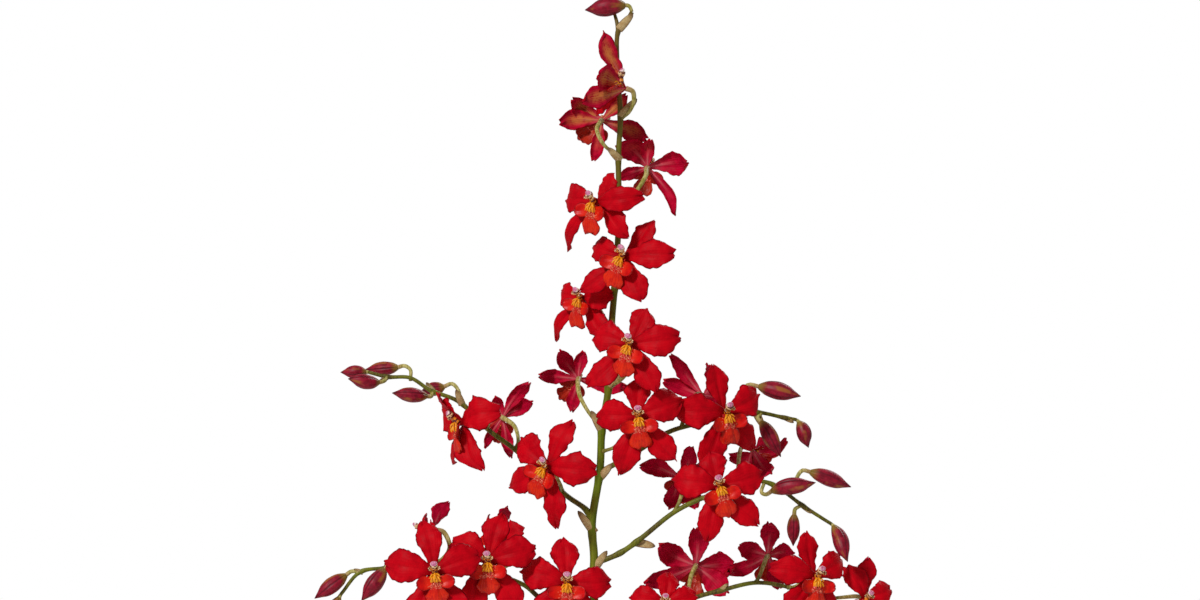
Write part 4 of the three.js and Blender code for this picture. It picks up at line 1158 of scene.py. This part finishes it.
# Buds: spindles whose radius follows the table, with three lobes as the size of a sine of the angle
budShape = [
    (0, 0.3), (0.08, 0.55), (0.22, 0.85), (0.45, 1.0), (0.65, 0.86), (0.85, 0.4), (1.0, 0.04)]
budPiece = Piece("spike_buds")
for stalk, tip, thickness in buds:
    path = smoothPath(stalk, 14)
    share = np.linspace(0, 1, 14)
    stems.add(tube(path, spikeLook["stalk"] + 0.25 * share, 10), tone=(0.7 + 1.1 * share)[:, None])
    base = np.array(stalk[-1], float)
    tip = np.array(tip, float)
    onward = unit(base - np.array(stalk[-2], float))
    reach = np.linalg.norm(tip - base)
    start = base - 0.6 * onward
    swung = base + 0.3 * reach * unit(tip - base + 0.25 * reach * onward)
    line = smoothPath([start, swung, base + 0.7 * (tip - base), tip], 30)
    places = np.linspace(0, 1, 30)
    radii = profileOf(budShape, places) * thickness / 2
    lobes = 1 + 0.05 * np.abs(np.sin(1.5 * circle(24))) * hump(places)[:, None] - 0.02
    budPiece.add(tube(line, radii, 24, lobes))
stems.build([finishes["stem"]], "spike", "flower_spike")
budPiece.build([finishes["bud"]], "bloom", "flower_spike")


# A bract: a boat-shaped scale that clasps the stem at its foot. Its half width is a root of 1 - u,
# and its sides come round the stem with v squared, less so towards its tip.
bractPiece = Piece("spike_bracts")
u, v = grid(14, 11)
for foot, tip in bracts:
    foot = np.array(foot, float)
    along = np.array(tip, float) - foot
    side = unit(np.cross(along, [0.0, 1.0, 0.0]))
    face = np.cross(side, unit(along))
    if face[2] > 0:  # its back is to the stem's outer side
        side, face = -side, -face
    share = min(1.0, np.linalg.norm(along) / 10)
    half = spikeLook["bract"] * share * np.sqrt(np.clip(1 - u, 0.001, 1)) * (0.8 + 0.5 * u)
    lift = share * (1.1 * hump(u) + 1.5 * (1 - v**2) * (1 - 0.6 * u)) - 0.4
    sheet = (foot + u[..., None] * along + (half * v)[..., None] * side
             + (lift + 0 * v)[..., None] * face)
    bractPiece.addBlade(sheet, 0.5, rim=0.3)
bractPiece.build([finishes["bract"]], "spike", "flower_spike")
print("flower spike made")

# Growths: a flattened bulb with strap leaves from its top and its foot
#
# at: the middle of the bulb in plan. yaw: how far it is turned. leaves: foot: how far up the bulb
# each starts, where it points in plan, its reach, its rise over its foot, and its drop at the tip.

growths = {
    "growth_a": dict(
        at=[25, 7], height=84, width=36, thickness=21, yaw=12,
        leaves=[
            dict(foot=1, yaw=12, reach=118, rise=132, drop=64, width=31),
            dict(foot=1, yaw=-58, reach=88, rise=118, drop=30, width=30),
            dict(foot=0.2, yaw=-18, reach=78, rise=74, drop=20, width=24),
        ],
    ),
    "growth_b": dict(
        at=[-21, 15], height=78, width=34, thickness=20, yaw=-10,
        leaves=[
            dict(foot=1, yaw=172, reach=122, rise=124, drop=60, width=30),
            dict(foot=1, yaw=232, reach=84, rise=112, drop=34, width=28),
            dict(foot=0.2, yaw=196, reach=70, rise=66, drop=22, width=22),
        ],
    ),
    "growth_c": dict(
        at=[6, 35], height=70, width=32, thickness=19, yaw=4,
        leaves=[
            dict(foot=1, yaw=62, reach=104, rise=126, drop=56, width=30),
            dict(foot=1, yaw=128, reach=100, rise=120, drop=62, width=29),
        ],
    ),
    "backbulb": dict(
        at=[-17, -23], height=52, width=29, thickness=17, yaw=28, leaves=[],
    ),
}

barkLevel = 93.0
growthLook = {
    "sink": 9.0,
    "ribs": 0.022,
    "ribCount": 11,
    "leafThickness": 1.0,
    "leafTop": 0.93,  # how far up the bulb the upper leaves start
    "leafFold": 0.24,
    "leafWave": 0.7,
    "leafSway": 2.2,
    "sheaths": 4,
    "sheathGap": 0.7,
    "sheathStep": 0.3,  # how much further out each next one lies
}
bulbShape = [(0, 0.55), (0.16, 0.9), (0.4, 1.0), (0.66, 0.82), (0.88, 0.46), (1.0, 0.2)]
leafShape = [(0, 0.24), (0.16, 0.5), (0.34, 0.84), (0.54, 1.0), (0.74, 0.86), (0.9, 0.5), (1.0, 0.04)]


# A point on a bulb: an ellipse at each level, whose size follows the shape table, with lengthwise
# ribs as a cosine of the angle
def bulbPoint(growth, level, angle, room=0.0):
    share = profileOf(bulbShape, level)
    turns = growthLook["ribCount"] * angle + 2 * level
    ribs = 1 + growthLook["ribs"] * np.cos(turns) * hump(level)
    x = (share * growth["width"] / 2 * ribs + room) * np.cos(angle)
    y = (share * growth["thickness"] / 2 * ribs + room) * np.sin(angle)
    z = barkLevel - growthLook["sink"] + level * growth["height"]
    yaw = math.radians(growth["yaw"])
    return np.stack(np.broadcast_arrays(
        growth["at"][0] + x * math.cos(yaw) - y * math.sin(yaw),
        growth["at"][1] + x * math.sin(yaw) + y * math.cos(yaw), z), axis=-1)


# A strap leaf along a curve of second degree: folded as a V across, wavy along, its width by the
# table
def leafSheet(growth, leaf, random):
    u, v = grid(56, 17)
    yaw = math.radians(leaf["yaw"])
    out = np.array([math.cos(yaw), math.sin(yaw), 0.0])
    low = barkLevel - growthLook["sink"]
    fromTop = leaf["foot"] == 1
    base = low + growth["height"] * (growthLook["leafTop"] if fromTop else leaf["foot"])
    start = np.array([growth["at"][0], growth["at"][1], base]) + out * (0 if fromTop else 9)
    bend = start + out * leaf["reach"] * 0.3 + np.array([0, 0, leaf["rise"]])
    end = start + out * leaf["reach"] + np.array([0, 0, leaf["rise"] - leaf["drop"]])
    t = u[..., None]
    middle = start * (1 - t) ** 2 + 2 * bend * t * (1 - t) + end * t**2
    along = unit((bend - start) * (1 - t) + (end - bend) * t)
    side = unit(np.cross(along, [0.0, 0.0, 1.0]))
    face = np.cross(side, along)
    half = profileOf(leafShape, u) * leaf["width"] / 2
    phase = random.uniform(0, 2 * math.pi, 2)
    fold = growthLook["leafFold"] * np.abs(v) ** 1.3 * half
    wavy = growthLook["leafWave"] * np.abs(v) ** 2 * wave(u, 2.2, phase[0] + v)
    wavy = wavy * np.clip(3 * u, 0, 1)
    sway = growthLook["leafSway"] * hump(u) * math.sin(phase[1])
    return (middle + (half * v + sway)[..., None] * side
            + (fold + wavy)[..., None] * face)


for seed, (name, growth) in enumerate(growths.items()):
    random = np.random.default_rng(seed)
    piece = Piece(name + "_fine")
    piece.add(bulbPoint(growth, np.linspace(0.0, 1.0, 44)[:, None], circle(72)), slot=0)
    for leaf in growth["leaves"]:
        piece.addBlade(leafSheet(growth, leaf, random), growthLook["leafThickness"], slot=1, rim=0.3)
    # dry sheaths, hugging the foot of the bulb and standing off at their tips
    for number in range(growthLook["sheaths"]):
        u = np.linspace(0.02, 1.0, 30)[:, None]
        v = np.linspace(-1.0, 1.0, 21)[None, :]
        height = random.uniform(0.3, 0.7)
        middle = random.uniform(0, 2 * math.pi)
        spread = (1 - u) ** 0.8 * (1 + 0.8 * u) + 0.03
        room = growthLook["sheathGap"] + growthLook["sheathStep"] * number + 3.2 * u**4
        room = room + 0.35 * np.sin(8 * v + 6 * u + number) * u
        lean = 0.3 * random.uniform(-1, 1) * u**2
        sheath = bulbPoint(growth, u * height, middle + spread * v + lean, room)
        piece.addBlade(sheath, 0.4, slot=2, rim=0.4)
    piece.build([finishes["bulb"], finishes["leaf"], finishes["bract"]], "growth", name)
print("growths made")

# Bark: chips heaped in the pot, each a rough block whose corners are pushed about, and roots on top

barkLook = {
    "chips": 250,
    "reach": 46.5,
    "wall": 50.2,  # how far out a chip's corner may come
    "size": (17.0, 11.0, 6.0),
    "sizeSpread": (0.6, 1.35),
    "filling": [(0.5, 6.4), (38.6, 6.4), (49.4, 86.0), (30.0, 88.0), (0.5, 88.0)],
}


# An outline of rows of radius and height, turned round the z axis
def turnedRound(outline, sides):
    angle = circle(sides)
    return np.stack([outline[:, :1] * np.cos(angle), outline[:, :1] * np.sin(angle),
                     outline[:, 1:] + 0 * angle], axis=-1)


random = np.random.default_rng(11)
bark = Piece("bark_fine")
bark.add(turnedRound(np.array(barkLook["filling"]), 64))
ring = circle(10)
for number in range(barkLook["chips"]):
    length, breadth, depth = barkLook["size"] * random.uniform(*barkLook["sizeSpread"], 3)
    reach = barkLook["reach"] * math.sqrt(random.uniform(0, 1))
    way = random.uniform(0, 2 * math.pi)
    turns = random.uniform(-1, 1, 3) * np.array([0.45, 0.45, math.pi])
    steps = np.array([-0.5, -0.46, -0.15, 0.18, 0.46, 0.5])[:, None]
    fat = np.array([0.78, 0.98, 1.0, 0.97, 0.95, 0.74])[:, None]
    square = np.abs(np.cos(ring)) ** 3 + np.abs(np.sin(ring)) ** 3
    lumps = fat * square ** (-1 / 3) * random.uniform(0.86, 1.1, (6, 10))
    chip = np.stack([
        np.broadcast_to(length * steps, lumps.shape), breadth / 2 * np.cos(ring) * lumps,
        depth / 2 * np.sin(ring) * lumps], axis=-1)
    cosine, sine = np.cos(turns), np.sin(turns)
    pitch = np.array([[1, 0, 0], [0, cosine[0], -sine[0]], [0, sine[0], cosine[0]]])
    roll = np.array([[cosine[1], 0, sine[1]], [0, 1, 0], [-sine[1], 0, cosine[1]]])
    swing = np.array([[cosine[2], -sine[2], 0], [sine[2], cosine[2], 0], [0, 0, 1]])
    chip = chip @ (swing @ roll @ pitch).T
    sag = 3.0 * (reach / barkLook["reach"]) ** 4
    height = barkLevel - 2.5 + random.uniform(-2.0, 4.0) - sag
    middle = np.array([reach * math.cos(way), reach * math.sin(way), height])
    tight = np.abs(chip[..., :2] + middle[:2])
    over = np.clip(np.linalg.norm(tight, axis=-1).max() - barkLook["wall"], 0, None)
    middle[:2] *= 1 - over / max(reach, 1.0)
    bark.add(chip + middle, tone=random.uniform(0, 1))
bark.build([finishes["bark"]], "bark", "bark")

roots = Piece("roots")
rootRoutes = [
    [(25, -2, 92), (33, -8, 97), (39, -18, 97), (33, -30, 97), (20, -37, 97), (8, -41, 92)],
    [(-21, 8, 92), (-30, 0, 96.6), (-40, -6, 97), (-43, -18, 96.2), (-36, -30, 96.6), (-30, -36, 90)],
    [(12, 36, 92), (24, 34, 96.6), (34, 28, 97), (43, 18, 96.6), (46, 8, 90)],
    [(-10, -25, 91), (-2, -31, 96.6), (4, -22, 97), (12, -20, 96.6), (20, -24, 91)],
    [(-24, 20, 92), (-33, 24, 96.6), (-38, 32, 96.6), (-28, 40, 96.2), (-16, 44, 90)],
]
rootRadius = 1.55
for number, route in enumerate(rootRoutes):
    swell = 0.14 * np.sin(np.linspace(0, 40, 70) + number)
    roots.add(tube(smoothPath(route, 70), rootRadius + swell, 12))
roots.build([finishes["root"]], "growth")
print("bark and roots made")

# The pot: its outline in radius and height, turned round the z axis

potLook = {
    "height": 110.0,
    "foot": 43.0,
    "rim": 60.5,
    "wall": 4.5,
    "floor": 6.0,
    "collar": 22.0,
    "step": 3.0,
    "round": 1.6,
    "middle": 0.4,  # radius at which the outline ends at the axis
}


# The outline with each corner replaced by a short curve of second degree
def roundedOutline(corners, radius, steps=6):
    corners = np.array(corners, float)
    line = [corners[:1]]
    for before, corner, after in zip(corners[:-2], corners[1:-1], corners[2:]):
        reachIn = min(radius, np.linalg.norm(corner - before) / 2.1)
        reachOut = min(radius, np.linalg.norm(after - corner) / 2.1)
        start = corner + unit(before - corner) * reachIn
        end = corner + unit(after - corner) * reachOut
        t = np.linspace(0, 1, steps)[:, None]
        line.append(start * (1 - t) ** 2 + 2 * corner * t * (1 - t) + end * t**2)
    line.append(corners[-1:])
    return np.vstack(line)


slope = (potLook["rim"] - potLook["step"] - potLook["foot"]) / potLook["height"]
lip = potLook["height"] - potLook["collar"]
inside = potLook["foot"] - potLook["wall"]
outline = roundedOutline([
    (potLook["middle"], 0), (potLook["foot"], 0), (potLook["foot"] + slope * lip, lip),
    (potLook["rim"] - 0.4, lip + 0.6), (potLook["rim"], potLook["height"]),
    (inside + slope * potLook["height"], potLook["height"]),
    (inside + slope * potLook["floor"], potLook["floor"]), (potLook["middle"], potLook["floor"]),
], potLook["round"])
pot = Piece("pot_fine")
pot.add(turnedRound(outline, 128))
pot.build([finishes["clay"]], "pot", "pot")
print("pot made")

# Light and floor

lightLook = {
    "sky": 0.3,  # the camera itself sees a white one
    "key": {"from": (-0.6, -1.0, 0.75), "strength": 2.1, "spread": 9},
    "rear": {"from": (0.6, 1.0, 0.9), "strength": 1.15, "spread": 25},
}
for name in ("key", "rear"):
    look = lightLook[name]
    lamp = bpy.data.lights.new(name, "SUN")
    lamp.energy = look["strength"]
    lamp.angle = math.radians(look["spread"])
    placed = bpy.data.objects.new(name, lamp)
    x, y, z = look["from"]
    placed.rotation_euler = (math.atan2(math.hypot(x, y), z), 0, math.atan2(y, x) + math.pi / 2)
    bpy.context.scene.collection.objects.link(placed)

world = bpy.data.worlds.new("studio")
bpy.context.scene.world = world
world.use_nodes = True
sky = world.node_tree
seen = sky.nodes.new("ShaderNodeBackground")
seen.inputs["Color"].default_value = (1, 1, 1, 1)
seen.inputs["Strength"].default_value = 1.0
soft = sky.nodes["Background"]
soft.inputs["Color"].default_value = (1, 1, 1, 1)
soft.inputs["Strength"].default_value = lightLook["sky"]
ray = sky.nodes.new("ShaderNodeLightPath")
either = sky.nodes.new("ShaderNodeMixShader")
sky.links.new(ray.outputs["Is Camera Ray"], either.inputs[0])
sky.links.new(soft.outputs[0], either.inputs[1])
sky.links.new(seen.outputs[0], either.inputs[2])
sky.links.new(either.outputs[0], sky.nodes["World Output"].inputs["Surface"])
bpy.context.scene.view_settings.view_transform = "Standard"

# The floor is pale about the pot and fades out into the white behind it
floorLook = {
    "half": 2.0,
    "solid": 0.35,  # metres from the pot
    "gone": 1.7,
}
reach = floorLook["half"]
floorMesh = bpy.data.meshes.new("floor")
floorMesh.from_pydata([(-reach, -reach, 0), (reach, -reach, 0), (reach, reach, 0), (-reach, reach, 0)],
                      [], [(0, 1, 2, 3)])
floor = bpy.data.objects.new("floor", floorMesh)
bpy.context.scene.collection.objects.link(floor)
floorFinish = Finish("floor")
floorFinish.shader.inputs["Base Color"].default_value = paint(240, 239, 237)
floorFinish.shader.inputs["Roughness"].default_value = 0.9
distance = floorFinish.node(
    "ShaderNodeVectorMath", {"operation": "LENGTH"}, {0: floorFinish.places}, 1)
fade = floorFinish.ease(distance, floorLook["gone"], floorLook["solid"])
floorFinish.tree.links.new(fade.socket, floorFinish.shader.inputs["Alpha"])
floorMesh.materials.append(floorFinish.material)
print("light and floor made")
